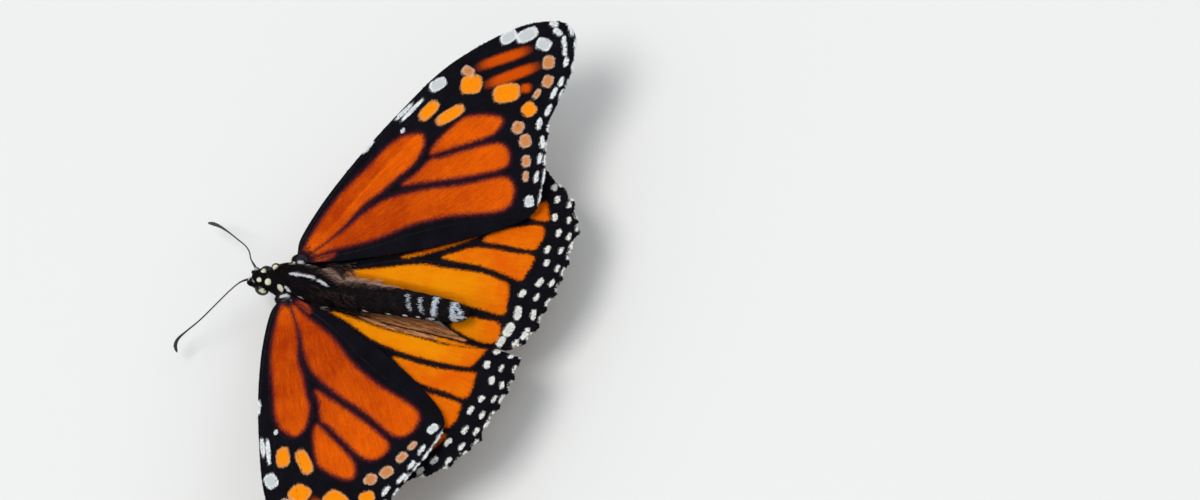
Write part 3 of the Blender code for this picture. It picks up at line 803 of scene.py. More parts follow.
def even_spread(outline, pitch, inset, seed):
    """Jittered rows of places inside an outline, staggered like bricks."""
    draw = np.random.default_rng(seed)
    low, high = outline.min(0), outline.max(0)
    row_pitch = pitch * 0.866
    columns, rows = int((high[0] - low[0]) / pitch) + 2, int((high[1] - low[1]) / row_pitch) + 2
    i, j = np.meshgrid(np.arange(columns), np.arange(rows), indexing="ij")
    spread = np.stack([low[0] + (i + 0.5 * (j % 2)) * pitch, low[1] + j * row_pitch], -1).reshape(-1, 2)
    spread += draw.uniform(-0.22, 0.22, spread.shape) * pitch
    away_from = line_distance(spread[:, 0], spread[:, 1], outline, closed=True)
    return spread[is_inside(spread[:, 0], spread[:, 1], outline) & (away_from > inset)]


def membrane(name, wing):
    """The closed sheet of one wing: upper face, under face and the band round the rim."""
    rim = even_line(wing["outline"], NET_PITCH * 0.6)
    spread = even_spread(rim, NET_PITCH, NET_PITCH * 0.45, 11)
    places = [Vector(p) for p in np.vstack([rim, spread])]
    rim_edges = [(i, (i + 1) % len(rim)) for i in range(len(rim))]
    found = delaunay_2d_cdt(places, rim_edges, [], 1, 1e-6)
    u, v = np.array([tuple(p) for p in found[0]]).T
    faces = np.array([f for f in found[2] if len(f) == 3])
    pairs = np.concatenate([faces[:, [0, 1]], faces[:, [1, 2]], faces[:, [2, 0]]]).tolist()
    keys = {tuple(p) for p in pairs}
    a, b = np.array([p for p in pairs if (p[1], p[0]) not in keys]).T
    count = len(u)
    points = np.vstack([on_wing(wing, u, v, MEMBRANE / 2), on_wing(wing, u, v, -MEMBRANE / 2)])
    band = np.concatenate([np.stack([a, a + count, b + count], 1), np.stack([a, b + count, b], 1)])
    triangles = np.concatenate([faces, faces[:, ::-1] + count, band])
    if wing["sign"] < 0:
        triangles = triangles[:, ::-1]
    kinds = np.concatenate([np.zeros(len(faces)), np.ones(len(faces)), np.zeros(len(band))])
    values = dict(wing_markings(wing, np.tile(u, 2), np.tile(v, 2)), tile=np.full(2 * count, 0.5))
    finishes = [WING_FINISH[wing["kind"], "upper"], WING_FINISH[wing["kind"], "under"]]
    return make_piece(name + "_membrane", points, triangles, finishes, wing["kind"] + "_scales", [name],
                      values, kinds)


for name, wing in WINGS.items():
    tell(membrane(name, wing))

# %% [markdown]
# ## The scales
#
# Butterfly scales are set in the membrane like roof tiles: the root is sunk, the tip is free
# and covers the next root. Each is modelled as a thin fan with a low crest, four triangles in
# all, so that a whole wing side stays light. They point away from the hinge, and each one
# takes the colour of the place where it is rooted, which gives the bands their ragged edges.

# %% Wing coats
SCALE_PITCH = 0.20
SCALE_LENGTH, SCALE_WIDTH = 0.38, 0.235
SCALE = np.array([(0, 3, 1), (0, 2, 3), (3, 2, 1), (0, 1, 2)])
PATCH = 0.003  # size of a scale's or a tuft's own patch on the bake map


def shingles(roots, lie, across, normal, length, width, lift):
    """Four points and four triangles for each scale: root, two tip corners and a crest."""
    tip = roots + lie * length[:, None] + normal * lift[:, None]
    half = across * width[:, None] / 2
    crest = roots + lie * (0.62 * length)[:, None] + normal * (lift + 0.018)[:, None]
    points = np.stack([roots - normal * 0.02, tip - half, tip + half, crest], 1).reshape(-1, 3)
    return points, (SCALE[None] + 4 * np.arange(len(roots))[:, None, None]).reshape(-1, 3)


def patches(u, v, count):
    """For each root a patch of the bake map round its place, one corner for each point."""
    turns = np.arange(count) * 2 * math.pi / count
    ring = np.stack([np.cos(turns), np.sin(turns)], 1) * PATCH / 2
    return (np.stack([u, v], 1)[:, None] + ring[None]).reshape(-1, 2)


def coat(name, blades, count, marks, where, finish, slot, smooth_faces=True):
    """One coat piece. All the points of a blade carry the marks and the map place of its root."""
    values = {key: np.repeat(value, count, axis=0) for key, value in marks.items()}
    return make_piece(name, *blades, [finish], slot, values=values, smooth_faces=smooth_faces,
                      bake_map=patches(*where, count))


def rooted(wing, u, v, ahead, aside, lift=0.0, outwards=0.1):
    """Places on a wing, the way that a small step on its chart leads, and the way out of it."""
    roots = on_wing(wing, u, v, lift)
    lie = on_wing(wing, u + ahead, v + aside, lift) - roots
    return roots, lie, (on_wing(wing, u, v, lift + outwards) - roots) / 0.1


def on_map(wing, u, v):
    """Where chart places lie on the bake map."""
    low, span = wing["outline"].min(0), np.ptp(wing["outline"], axis=0).max()
    return 0.02 + 0.96 * (u - low[0]) / span, 0.02 + 0.96 * (v - low[1]) / span


def wing_coat(name, wing, upper, seed):
    """All the scales of one face of a wing."""
    draw = np.random.default_rng(seed)
    u, v = even_spread(wing["outline"], SCALE_PITCH, 0.10, seed).T
    face, label = (1.0, "upper") if upper else (-1.0, "under")
    heading = np.arctan2(v, u + ROOT_REACH) + draw.normal(0, 0.10, len(u))
    base, lie, normal = rooted(wing, u, v, 0.1 * np.cos(heading), 0.1 * np.sin(heading),
                               face * MEMBRANE / 2, face * 0.1)
    lie = unit(lie)
    size = draw.uniform(0.82, 1.15, len(u))
    lift = draw.uniform(0.022, 0.055, len(u))
    blades = shingles(base, lie, np.cross(normal, lie), normal, SCALE_LENGTH * size,
                      SCALE_WIDTH * size, lift)
    marks = dict(wing_markings(wing, u, v), tile=draw.uniform(0, 1, len(u)))
    return coat(f"{name}_{label}_coat", blades, 4, marks, on_map(wing, u, v),
                WING_FINISH[wing["kind"], label], wing["kind"] + "_scales", smooth_faces=False)


for number, (name, wing) in enumerate(WINGS.items()):
    for upper in (True, False):
        tell(wing_coat(name, wing, upper, 100 + 2 * number + upper))

# %% [markdown]
# ## Tubes
#
# Veins, feelers, legs, palps and tongue are all round rods that taper along a curved path. One
# function sweeps a ring along a path, keeps the ring from twisting, and closes both ends.

# %% Tube maker
def turns_of(count):
    """Even turns round a full circle."""
    return np.arange(count) * 2 * math.pi / count


def frames_along(path):
    """Two side directions at each point of a path, carried along without twist."""
    ahead = unit(np.gradient(path, axis=0))
    start = np.array((0.0, 0.0, 1.0)) if abs(ahead[0, 2]) < 0.9 else np.array((1.0, 0.0, 0.0))
    side = np.empty_like(path)
    for i, direction in enumerate(ahead):
        start = unit(start - direction * start.dot(direction))
        side[i] = start
    return side, np.cross(ahead, side)


def closed_rings(rings):
    """Triangles that join rings of the same number of points, with a point at each end."""
    count, sides = rings.shape[:2]
    points = np.vstack([rings.reshape(-1, 3), rings[0].mean(0)[None], rings[-1].mean(0)[None]])
    i, j = np.meshgrid(np.arange(count - 1), np.arange(sides), indexing="ij")
    a, b = (i * sides + j).ravel(), (i * sides + (j + 1) % sides).ravel()
    j = np.arange(sides)
    end = (count - 1) * sides
    triangles = [np.stack([a, a + sides, b + sides], 1), np.stack([a, b + sides, b], 1),
                 np.stack([np.full(sides, count * sides), j, (j + 1) % sides], 1),
                 np.stack([np.full(sides, count * sides + 1), end + (j + 1) % sides, end + j], 1)]
    return points, np.concatenate(triangles)


def tube(path, radii, sides):
    """Points and triangles of a closed round rod."""
    side, other = frames_along(path)
    turns = turns_of(sides)
    ring = side[:, None] * np.cos(turns)[None, :, None] + other[:, None] * np.sin(turns)[None, :, None]
    points, triangles = closed_rings(path[:, None] + ring * np.asarray(radii)[:, None, None])
    return points, triangles[:, ::-1]


def joined(parts):
    """Several (points, triangles) as one."""
    points, triangles, start = [], [], 0
    for some_points, some_triangles in parts:
        points.append(some_points)
        triangles.append(np.asarray(some_triangles) + start)
        start += len(some_points)
    return np.vstack(points), np.vstack(triangles)


# %% Veins as raised ribs
VEIN_ROOT, VEIN_TIP = 0.115, 0.06
vein_finish = speckled("vein_chitin", 0.55, 0.12, 4000.0, 2.0, (0.004, 0.004, 0.006, 1),
                       (0.018, 0.016, 0.024, 1))[0]


def vein_ribs(name, wing):
    """All the veins of one wing as rods that stand out on both faces."""
    rods = []
    for line in FOREWING_VEINS if wing["kind"] == "forewing" else HINDWING_VEINS:
        u, v = smooth(line, 6).T
        away_from = line_distance(u, v, wing["outline"], closed=True)
        keep = is_inside(u, v, wing["outline"]) & (away_from > 0.12)
        u, v = u[keep], v[keep]
        if len(u) < 4:
            continue
        far_out = np.hypot(u, v) / 50.0
        radii = VEIN_ROOT + (VEIN_TIP - VEIN_ROOT) * np.clip(far_out * 1.15, 0, 1)
        rods.append(tube(on_wing(wing, u, v), radii, 6))
    return make_piece(name + "_veins", *joined(rods), [vein_finish], wing["kind"] + "_scales")


for name, wing in WINGS.items():
    tell(vein_ribs(name, wing))

# %% [markdown]
# ## Hair
#
# A tuft of hair is a narrow three-sided blade with one bend: it leaves the skin at an angle and
# then lies down along the body. Blades are cheap, so thousands of them cover the body, and the
# same function makes the fringe along the wings.

# %% Tuft maker
TUFT = np.array([(0, 1, 4), (0, 4, 3), (1, 2, 5), (1, 5, 4), (2, 0, 3), (2, 3, 5), (3, 4, 6),
                 (4, 5, 6), (5, 3, 6), (0, 2, 1)])
TUFT_POINTS = 7
TUFT_SECTION = ((-0.5, 0.0), (0.5, 0.0), (0.0, 0.55))


def tufts(roots, normal, lie, length, width, rise, lay_down):
    """Blades from roots. rise is their angle off the skin, lay_down the angle beyond the bend."""
    across = np.cross(normal, lie)
    first, second = (lie * np.cos(a)[:, None] + normal * np.sin(a)[:, None] for a in (rise, lay_down))
    middle = roots + first * (0.45 * length)[:, None]
    tip = middle + second * (0.55 * length)[:, None]
    points = [centre + across * (share * a * width)[:, None] + normal * (share * b * width)[:, None]
              for centre, share in ((roots - normal * 0.03, 1.0), (middle, 0.8)) for a, b in TUFT_SECTION]
    triangles = (TUFT[None] + TUFT_POINTS * np.arange(len(roots))[:, None, None]).reshape(-1, 3)
    return np.stack(points + [tip], 1).reshape(-1, 3), triangles


# %% Fringes
FRINGE_LENGTH, FRINGE_WIDTH, FRINGE_PITCH = 0.26, 0.15, 0.13
FRINGE_START = 12.0  # closer to the hinge than this the edge is bare
FRINGE_SINK = 0.05


def fringe(name, wing, seed):
    """Short hairs along the outer margin, in the plane of the wing."""
    draw = np.random.default_rng(seed)
    rim = even_line(wing["outline"], FRINGE_PITCH)
    outward = np.roll(rim, -1, 0) - np.roll(rim, 1, 0)
    outward = unit(np.stack([outward[:, 1], -outward[:, 0]], 1))
    inner = rim - FRINGE_SINK * outward
    if not is_inside(inner[:1, 0], inner[:1, 1], wing["outline"])[0]:
        outward = -outward
    far = rim[:, 0] > FRINGE_START
    outward = outward[far]
    u, v = (rim[far] - FRINGE_SINK * outward).T
    base, lie, normal = rooted(wing, u, v, 0.1 * outward[:, 0], 0.1 * outward[:, 1])
    length = FRINGE_LENGTH * draw.uniform(0.6, 1.1, len(u))
    if wing["kind"] == "forewing":
        length = np.where(v < -3.0, 0.5, 1.0) * length
    flat = draw.normal(0, 0.10, len(u))
    blades = tufts(base, normal, unit(lie), length, np.full(len(u), FRINGE_WIDTH), flat, flat)
    marks = dict(wing_markings(wing, u, v), tile=draw.uniform(0, 1, len(u)))
    return coat(name + "_fringe", blades, TUFT_POINTS, marks, on_map(wing, u, v),
                WING_FINISH[wing["kind"], "upper"], wing["kind"] + "_scales")


for number, (name, wing) in enumerate(WINGS.items()):
    tell(fringe(name, wing, 300 + number))

# %% [markdown]
# ## The body's skin
#
# Head, thorax and abdomen are one skin, so that no seam shows at the neck or the waist. It is
# described by ovals along the body, and a smooth curve runs through them. Every place on it has
# an address: how far along, and which way round. The skin lies inside the solids, so that the hair
# on it reaches about to their surface. The abdomen is drawn in a little between its rings.

# %% Body shape
HEAD_RADII = np.array((1.56, 1.50, 1.64))
HEAD_PLACES = (-0.98, -0.9, -0.7, -0.4, 0.0, 0.35, 0.6)
# across, along, up, half width, half height
TRUNK_OVALS = [
    (0.1, -5.62, -1.95, 1.12, 1.18), (0.05, -5.25, -1.8, 1.3, 1.36), (0.0, -4.75, -1.58, 1.62, 1.72),
    (0.0, -3.9, -1.15, 1.94, 2.2), (0.0, -2.8, -0.8, 2.22, 2.56), (0.0, -1.2, -0.55, 2.5, 2.84),
    (0.0, 0.8, -0.48, 2.57, 2.94), (0.0, 2.6, -0.5, 2.47, 2.9), (0.0, 4.0, -0.6, 2.2, 2.52),
    (0.08, 5.1, -0.62, 1.8, 2.0), (0.16, 5.8, -0.52, 1.45, 1.56), (0.22, 6.4, -0.35, 1.3, 1.34),
    (0.34, 7.0, -0.12, 1.4, 1.45), (0.42, 8.0, 0.2, 1.62, 1.64), (0.42, 10.5, 0.62, 1.86, 1.84),
    (0.3, 13.5, 0.98, 1.92, 1.88), (0.17, 17.0, 1.32, 1.84, 1.8), (0.08, 20.5, 1.62, 1.75, 1.69),
    (0.02, 23.5, 1.84, 1.61, 1.57), (0.0, 26.0, 2.02, 1.37, 1.33), (0.0, 27.4, 2.09, 1.0, 0.96),
    (0.0, 28.05, 2.11, 0.54, 0.52), (0.0, 28.25, 2.12, 0.12, 0.12),
]
RING_JOINTS = (8.6, 11.4, 14.2, 16.9, 19.3, 21.6, 24.0, 26.0)

ovals = []
for place in HEAD_PLACES:
    shrink = math.sqrt(1 - place ** 2)
    ovals.append((HEAD_CENTRE[0], HEAD_CENTRE[1] + place * HEAD_RADII[1], HEAD_CENTRE[2],
                  HEAD_RADII[0] * shrink, HEAD_RADII[2] * shrink))
SPINE = smooth(ovals + TRUNK_OVALS, 7)
for joint in RING_JOINTS:
    SPINE[:, 3:] *= 1 - 0.06 * np.exp(-((SPINE[:, 1:2] - joint) / 0.30) ** 2)
SPINE_REACH = distances(SPINE[:, :3])


def oval_at(reach):
    """The oval at a distance along the spine."""
    return np.stack([np.interp(reach, SPINE_REACH, SPINE[:, i]) for i in range(5)], 1)


def oval_place(oval, turn):
    """A place on an oval at a turn from the left side up."""
    return np.stack([oval[..., 0] + oval[..., 3] * np.cos(turn), oval[..., 1] + 0 * turn,
                     oval[..., 2] + oval[..., 4] * np.sin(turn)], -1)


def on_body(reach, turn):
    """Place, outward direction and the way to the tail at an address on the skin."""
    def place(r, a):
        return oval_place(oval_at(r), a)

    along = place(reach + 0.1, turn) - place(reach - 0.1, turn)
    around = place(reach, turn + 0.05) - place(reach, turn - 0.05)
    normal = unit(np.cross(along, around))
    along -= normal * (along * normal).sum(1, keepdims=True)
    along /= np.maximum(np.linalg.norm(along, axis=1, keepdims=True), 1e-9)
    return place(reach, turn), normal, along


_, normal, _ = on_body(np.array([10.0]), np.array([math.pi / 2]))
print("body length", round(SPINE_REACH[-1], 1), "mm; up at the back is", np.round(normal[0], 2))

# %% [markdown]
# ## Markings of the body
#
# A monarch's body is black, dotted with cream on the head and collar, and with white on the
# shoulders and down the sides, and pale blue-grey bands cross the rear of the abdomen. The hair
# over the roots of the hindwings is a dull brown. Each mark is a bead or a short rod in space: a
# hair rooted inside one takes its colour.

# %% Chart of the body's markings
CREAM_BEADS = [
    (0.78, -6.77, -0.78, 0.34), (1.04, -4.78, -0.03, 0.5), (1.12, -4.32, 0.34, 0.4),
    (-0.7, -6.75, -0.9, 0.36), (1.8, -6.45, -1.62, 0.32), (1.93, -6.12, -1.76, 0.34),
    (2.0, -5.85, -1.88, 0.28), (-0.95, -4.05, 0.95, 0.48), (1.92, -1.96, 0.95, 0.6),
    (-1.8, -1.85, 1.25, 0.34), (-1.95, -1.35, 1.33, 0.34),
]
WHITE_RODS = [
    ((0.03, -0.5, 2.39), (-0.17, 3.03, 2.29), 0.23), ((-0.07, 3.81, 2.0), (0.1, 4.95, 1.48), 0.23),
    ((1.86, -0.87, 1.48), (2.05, -0.55, 1.34), 0.3), ((2.05, -0.55, 1.34), (2.4, -0.3, 1.26), 0.32),
    ((2.4, -0.3, 1.26), (2.75, -0.28, 1.28), 0.34), ((2.75, -0.28, 1.28), (3.05, -0.56, 1.26), 0.34),
    ((3.05, -0.56, 1.26), (3.34, -1.02, 1.22), 0.3), ((3.1, 0.59, 1.29), (3.14, 0.66, 1.29), 0.18),
    ((-2.23, -0.44, 1.52), (-2.28, -0.14, 1.46), 0.3), ((-2.25, 0.62, 1.38), (-2.25, 0.7, 1.36), 0.28),
    ((3.17, 4.7, 0.3), (3.17, 4.9, 0.34), 0.26), ((2.42, 1.1, 0.51), (2.42, 1.6, 0.45), 0.15),
    ((0.9, -8.56, -0.94), (0.9, -8.56, -0.92), 0.2), ((-0.84, -8.29, -1.0), (-0.84, -8.29, -0.98), 0.2),
    ((0.98, -8.62, -3.72), (1.02, -8.95, -3.55), 0.16),
    ((-0.98, -8.62, -3.72), (-1.02, -8.95, -3.55), 0.16),
    ((0.62, -8.3, -1.2), (1.16, -7.6, -1.08), 0.1), ((-0.75, -8.1, -1.1), (-0.85, -7.75, -1.02), 0.1),
]
BANDS = [
    ((-0.49, 18.62, 3.1), (1.25, 19.63, 2.72), 0.21), ((-0.31, 20.83, 3.2), (1.3, 21.67, 2.72), 0.21),
    ((-1.0, 23.15, 3.0), (1.2, 23.5, 2.75), 0.4), ((-0.8, 26.0, 2.9), (1.1, 26.6, 2.0), 0.42),
    ((0.75, 26.6, 2.7), (0.55, 27.7, 2.4), 0.34), ((-0.3, 26.7, 3.2), (0.3, 27.5, 2.9), 0.26),
]
# Painted sheen: beads over the tegulae and the front of the head, where the black hair is coloured
# purple-grey in place of its shine.
PAINTED_SHEEN_BEADS = [(3.45, -0.75, 1.10, 1.20), (-2.75, -0.50, 1.45, 1.10), (0.30, -8.20, -1.50, 0.90)]
BROWN_BEADS = [
    (-2.5, 4.6, 0.2, 1.9), (2.5, 4.6, -0.3, 1.5), (-1.9, 7.2, 0.6, 1.8), (1.9, 7.2, 0.2, 1.2),
    (-1.9, 9.5, 1.4, 1.9), (-1.8, 12.5, 1.8, 1.7), (-2.5, 1.4, 1.3, 1.0), (1.5, 9.5, 1.0, 0.9),
]
# along, rise in degrees, radius
SIDE_DOTS = [
    (11.7, -6, 0.22), (15.6, -4, 0.2), (18.45, 0, 0.24), (20.6, 2, 0.22), (22.2, -4, 0.2),
    (22.9, 4, 0.24),
]
# along, up, radius
CHEST_DOTS = [
    (-3.2, -1.6, 0.34), (-1.6, -2.1, 0.4), (0.4, -1.7, 0.36), (2.2, -2.2, 0.34), (4.0, -1.7, 0.28),
    (0.2, -3.0, 0.26), (2.4, -3.1, 0.24),
]
for sign in SIDES.values():
    for along, rise, radius in SIDE_DOTS:
        reach = np.interp([along, along + 0.35], SPINE[:, 1], SPINE_REACH)
        turn = math.radians(rise) if sign > 0 else math.pi - math.radians(rise)
        start, end = on_body(reach, np.full(2, turn))[0]
        WHITE_RODS.append((start, end, radius))
        below = (sign * 0.95, along - 0.6, end[2] - 1.65)
        WHITE_RODS.append((below, (below[0], along - 0.3, below[2]), 0.17))
    for along, height, radius in CHEST_DOTS:
        across = 2.5 * math.sqrt(max(0.0, 1 - ((height + 0.5) / 3.0) ** 2)) * (1 - 0.03 * along ** 2)
        WHITE_RODS.append(((sign * across, along, height), (sign * across, along + 0.2, height), radius))


def on_surface(point):
    """The place on the body's surface straight out from the spine."""
    oval = [np.interp(point[1], SPINE[:, 1], SPINE[:, i]) for i in range(5)]
    across, _, up, half_width, half_height = oval
    out = unit(np.array(((point[0] - across) / half_width, (point[2] - up) / half_height)))
    return across + out[0] * half_width, point[1], up + out[1] * half_height


BAND_RODS = []
for start, end, radius in BANDS:
    start, end = np.array(start), np.array(end)
    line = [on_surface(start * (1 - share) + end * share) for share in np.linspace(0, 1, 5)]
    BAND_RODS += [(a, b, radius) for a, b in zip(line, line[1:])]


def bead_depth(points, beads):
    """How deep each place lies inside the nearest of several balls."""
    depth = np.full(len(points), FAR)
    for x, y, z, radius in beads:
        depth = np.maximum(depth, radius - np.linalg.norm(points - (x, y, z), axis=1))
    return depth


def rod_depth(points, rods):
    """The same for round rods."""
    depth = np.full(len(points), FAR)
    for start, end, radius in rods:
        start, end = np.array(start, float), np.array(end, float)
        ahead = end - start
        share = np.clip((points - start) @ ahead / max(ahead @ ahead, 1e-9), 0, 1)
        depth = np.maximum(depth, radius - np.linalg.norm(points - start - share[:, None] * ahead, axis=1))
    return depth


def body_markings(points):
    """All that the finish needs to know about places on the body."""
    marks = {"cream": CREAM_BEADS, "brown": BROWN_BEADS, "mauve": PAINTED_SHEEN_BEADS}
    rods = {"white": WHITE_RODS, "band": BAND_RODS}
    return {**{key: bead_depth(points, beads) for key, beads in marks.items()},
            **{key: rod_depth(points, found) for key, found in rods.items()}}


# %% Body finish
def body_finish(name, roughness):
    """Black hair with a painted purple sheen and a brown share, then the pale marks."""
    made, tree, shader = new_finish(name, roughness, specular=0.10)
    place = add(tree, "ShaderNodeTexCoord", {}).outputs["Object"]
    tile = stored(tree, "tile")
    fine = noise(tree, place, 5200.0, 3.0)
    broad = noise(tree, place, 900.0, 2.0)
    glint = sums(tree, "ADD", sums(tree, "POWER", tile, 4.0), 0.04)
    share = sums(tree, "MULTIPLY", sums(tree, "MULTIPLY", broad, 1.6), glint)
    colour = blend(tree, share, (0.0020, 0.0017, 0.0026, 1), (0.050, 0.034, 0.040, 1))
    # Painted purple sheen: hair inside those beads is coloured purple-grey in place of its shine.
    mauve = swayed(tree, stored(tree, "mauve"), tile, 1.4, middle=0.7)
    colour = blend(tree, edge(tree, mauve, 0.0, 0.9), colour, (0.13, 0.095, 0.15, 1))
    brown = swayed(tree, stored(tree, "brown"), tile, 1.8, middle=0.6)
    dull = blend(tree, tile, (0.050, 0.026, 0.020, 1), (0.44, 0.27, 0.215, 1))
    tan = blend(tree, tile, (0.32, 0.18, 0.13, 1), (0.92, 0.64, 0.50, 1))
    hair = blend(tree, edge(tree, brown, 0.9, 1.9), dull, tan)
    colour = blend(tree, edge(tree, brown, -0.1, 1.2), colour, hair)
    for layer, jitter, paint in (("band", 0.62, (0.64, 0.71, 0.78, 1)),
                                 ("white", 0.22, (0.84, 0.86, 0.90, 1)),
                                 ("cream", 0.10, (0.92, 0.91, 0.72, 1))):
        ragged = swayed(tree, swayed(tree, stored(tree, layer), tile, jitter), fine, 0.12)
        colour = blend(tree, edge(tree, ragged, -0.04, 0.04), colour, paint)
    tree.links.new(colour, shader.inputs["Base Color"])
    return made


body_paint = body_finish("body_hair", 0.72)

# %% [markdown]
# ## Shaping the body's skin
#
# Rings of points are laid on the ovals and joined to one closed skin from the brow to the tip
# of the abdomen. Small furred cushions sit on it in pairs: the tegulae over the roots of the
# forewings, the lobes of the collar, a brow behind each eye, and the sockets of the feelers. One
# more, the frons, fills the face between the eyes.

# %% Body skin
BODY_SIDES = 56
CUSHIONS = {
    "tegula_left": ((3.40, -0.78, 0.78), (0.92, 1.25, 0.60)),
    "tegula_right": ((-2.70, -0.70, 1.05), (0.84, 1.20, 0.60)),
    "collar_left": ((0.78, -5.00, -0.52), (0.85, 0.58, 0.62)),
    "collar_right": ((-1.10, -4.25, 0.38), (0.62, 0.60, 0.55)),
    "brow_left": ((1.80, -6.22, -1.90), (0.34, 0.58, 0.34)),
    "brow_right": ((-0.86, -6.72, -1.22), (0.38, 0.52, 0.36)),
    "socket_left": ((0.90, -8.32, -1.20), (0.27, 0.30, 0.27)),
    "socket_right": ((-0.84, -8.05, -1.26), (0.27, 0.30, 0.27)),
    "frons": ((0.15, -8.32, -2.30), (0.72, 0.32, 0.86)),
}


def egg(centre, radii, rings=24, sides=36):
    """A closed egg whose poles lie along Y."""
    tilt = np.linspace(0.12, math.pi - 0.12, rings)[:, None]
    turns = turns_of(sides)[None]
    shape = np.stack([np.sin(tilt) * np.cos(turns), -np.cos(tilt) * np.ones_like(turns),
                      np.sin(tilt) * np.sin(turns)], -1)
    return closed_rings(np.array(centre) + shape * np.array(radii))


def skin_piece(name, shape, tile, covers=()):
    """A piece of skin that carries the body's markings."""
    values = dict(body_markings(shape[0]), tile=np.full(len(shape[0]), tile))
    return make_piece(name, *shape, [body_paint], "body_hair", covers, values)


turns = np.tile(turns_of(BODY_SIDES), (len(SPINE), 1))
tell(skin_piece("body_skin", closed_rings(oval_place(SPINE[:, None], turns)), 0.45,
                ["head", "thorax", "abdomen"]))
for name, (centre, radii) in CUSHIONS.items():
    tell(skin_piece(name, egg(centre, radii), 0.3))

# %% [markdown]
# ## The body's coat
#
# Head and thorax wear real hair, longest on the thorax. The abdomen wears flatter, shorter
# scales that look like velvet. The lie runs from head to tail, and down on the front of the
# face. Tufts are smallest on the head, where the eye looks first.

# %% Body coats
def body_places(start, end, pitch, draw):
    """Evenly spread addresses (distance along, turn) on the skin between two distances."""
    reach, turn = [], []
    for r in np.arange(start, end, pitch * 0.87):
        oval = oval_at(np.array([r]))[0]
        count = max(3, int(math.pi * (oval[3] + oval[4]) / pitch))
        even = (np.arange(count) + draw.uniform()) * 2 * math.pi / count
        turn.append(even + draw.normal(0, 0.2 * pitch, count))
        reach.append(r + draw.uniform(-0.3, 0.3, count) * pitch)
    return np.clip(np.concatenate(reach), 0.03, SPINE_REACH[-1] - 0.03), np.concatenate(turn)


def fur(name, blades, marks, where):
    """A coat of tufts with the body's finish."""
    return coat(name, blades, TUFT_POINTS, marks, where, body_paint, "body_hair")


def round_the_body(reach, turn):
    """Where an address on the skin lies on the bake map."""
    return (turn / (2 * math.pi)) % 1.0, reach / SPINE_REACH[-1]


def flattened(lie, normal):
    """The lie without the part of it that points out of the skin."""
    return unit(lie - normal * (lie * normal).sum(1, keepdims=True))


def body_coat(name, start, end, pitch, length, width, rise, lay_down, seed):
    """The coat between two distances along the spine. Pale hairs are shorter, wider and flatter."""
    draw = np.random.default_rng(seed)
    reach, turn = body_places(start, end, pitch, draw)
    roots, normal, lie = on_body(reach, turn)
    number = len(roots)
    lie = unit(lie + np.cross(normal, lie) * draw.normal(0, 0.25, number)[:, None])
    size = draw.uniform(0.7, 1.25, number)
    marks = body_markings(roots)
    pale = np.maximum(marks["cream"], marks["white"]) > 0
    flat = np.where(pale, 0.35, 1.0)
    blades = tufts(roots, normal, lie, length * size * np.where(pale, 0.7, 1.0),
                   width * np.sqrt(size) * np.where(pale, 1.5, 1.0),
                   flat * (rise + draw.normal(0, 0.12, number)),
                   flat * (lay_down + draw.normal(0, 0.12, number)))
    marks["tile"] = draw.uniform(0, 1, number)
    return fur(name, blades, marks, round_the_body(reach, turn))


THORAX_START, ABDOMEN_START = 3.0, 15.2
# start, end, pitch, length, width, rise, lay down
BODY_COATS = {
    "head_coat": (0.05, THORAX_START, 0.085, 0.22, 0.045, 1.0, 0.45),
    "thorax_coat": (THORAX_START, ABDOMEN_START, 0.13, 0.62, 0.060, 0.70, 0.18),
    "abdomen_coat": (ABDOMEN_START, SPINE_REACH[-1], 0.145, 0.40, 0.095, 0.32, 0.08),
}
for number, (name, measures) in enumerate(BODY_COATS.items()):
    tell(body_coat(name, *measures, 51 + number))


# %% Cushion coats
def egg_coat(name, centre, radii, count, length, width, seed, lie_to):
    """Short hair over an egg, laid towards one direction. The roots follow a golden spiral."""
    draw = np.random.default_rng(seed)
    order = np.arange(count) + 0.5
    height = 1 - 2 * order / count
    girth = np.sqrt(1 - height ** 2)
    swing = order * math.pi * (1 + 5 ** 0.5)
    ball = np.stack([girth * np.cos(swing), height, girth * np.sin(swing)], 1)
    roots = np.array(centre) + ball * np.array(radii)
    normal = unit(ball / np.array(radii))
    lie = np.array(lie_to) - normal * (normal @ np.array(lie_to))[:, None]
    lie = flattened(lie + draw.normal(0, 0.15, roots.shape), normal)
    size = draw.uniform(0.7, 1.25, count)
    blades = tufts(roots, normal, lie, length * size, width * np.sqrt(size), np.full(count, 0.5),
                   np.full(count, 0.15))
    marks = dict(body_markings(roots), tile=draw.uniform(0, 1, count))
    return fur(name, blades, marks, ((swing / (2 * math.pi)) % 1.0, (height + 1) / 2))


TO_TAIL, DOWN = (0.0, 1.0, 0.0), (0.0, 0.0, -1.0)
for number, (name, (centre, radii)) in enumerate(CUSHIONS.items()):
    count, length = (1300, 0.36) if name.startswith("tegula") else (700, 0.20)
    lie_to = DOWN if name == "frons" else TO_TAIL
    tell(egg_coat(name + "_coat", centre, radii, count, length, 0.05, 60 + number, lie_to))

# %% [markdown]
# ## Long hair at the wing roots
#
# The bare hinge of each wing is hidden by longer, loose hair. It grows from the side of the
# body and from the innermost part of the wing, and sweeps back over the hindwing's root. It
# is dark next to the thorax and tan beside the fold of the right hindwing.

# %% Wing-root hair
FLANK_START = 11.6


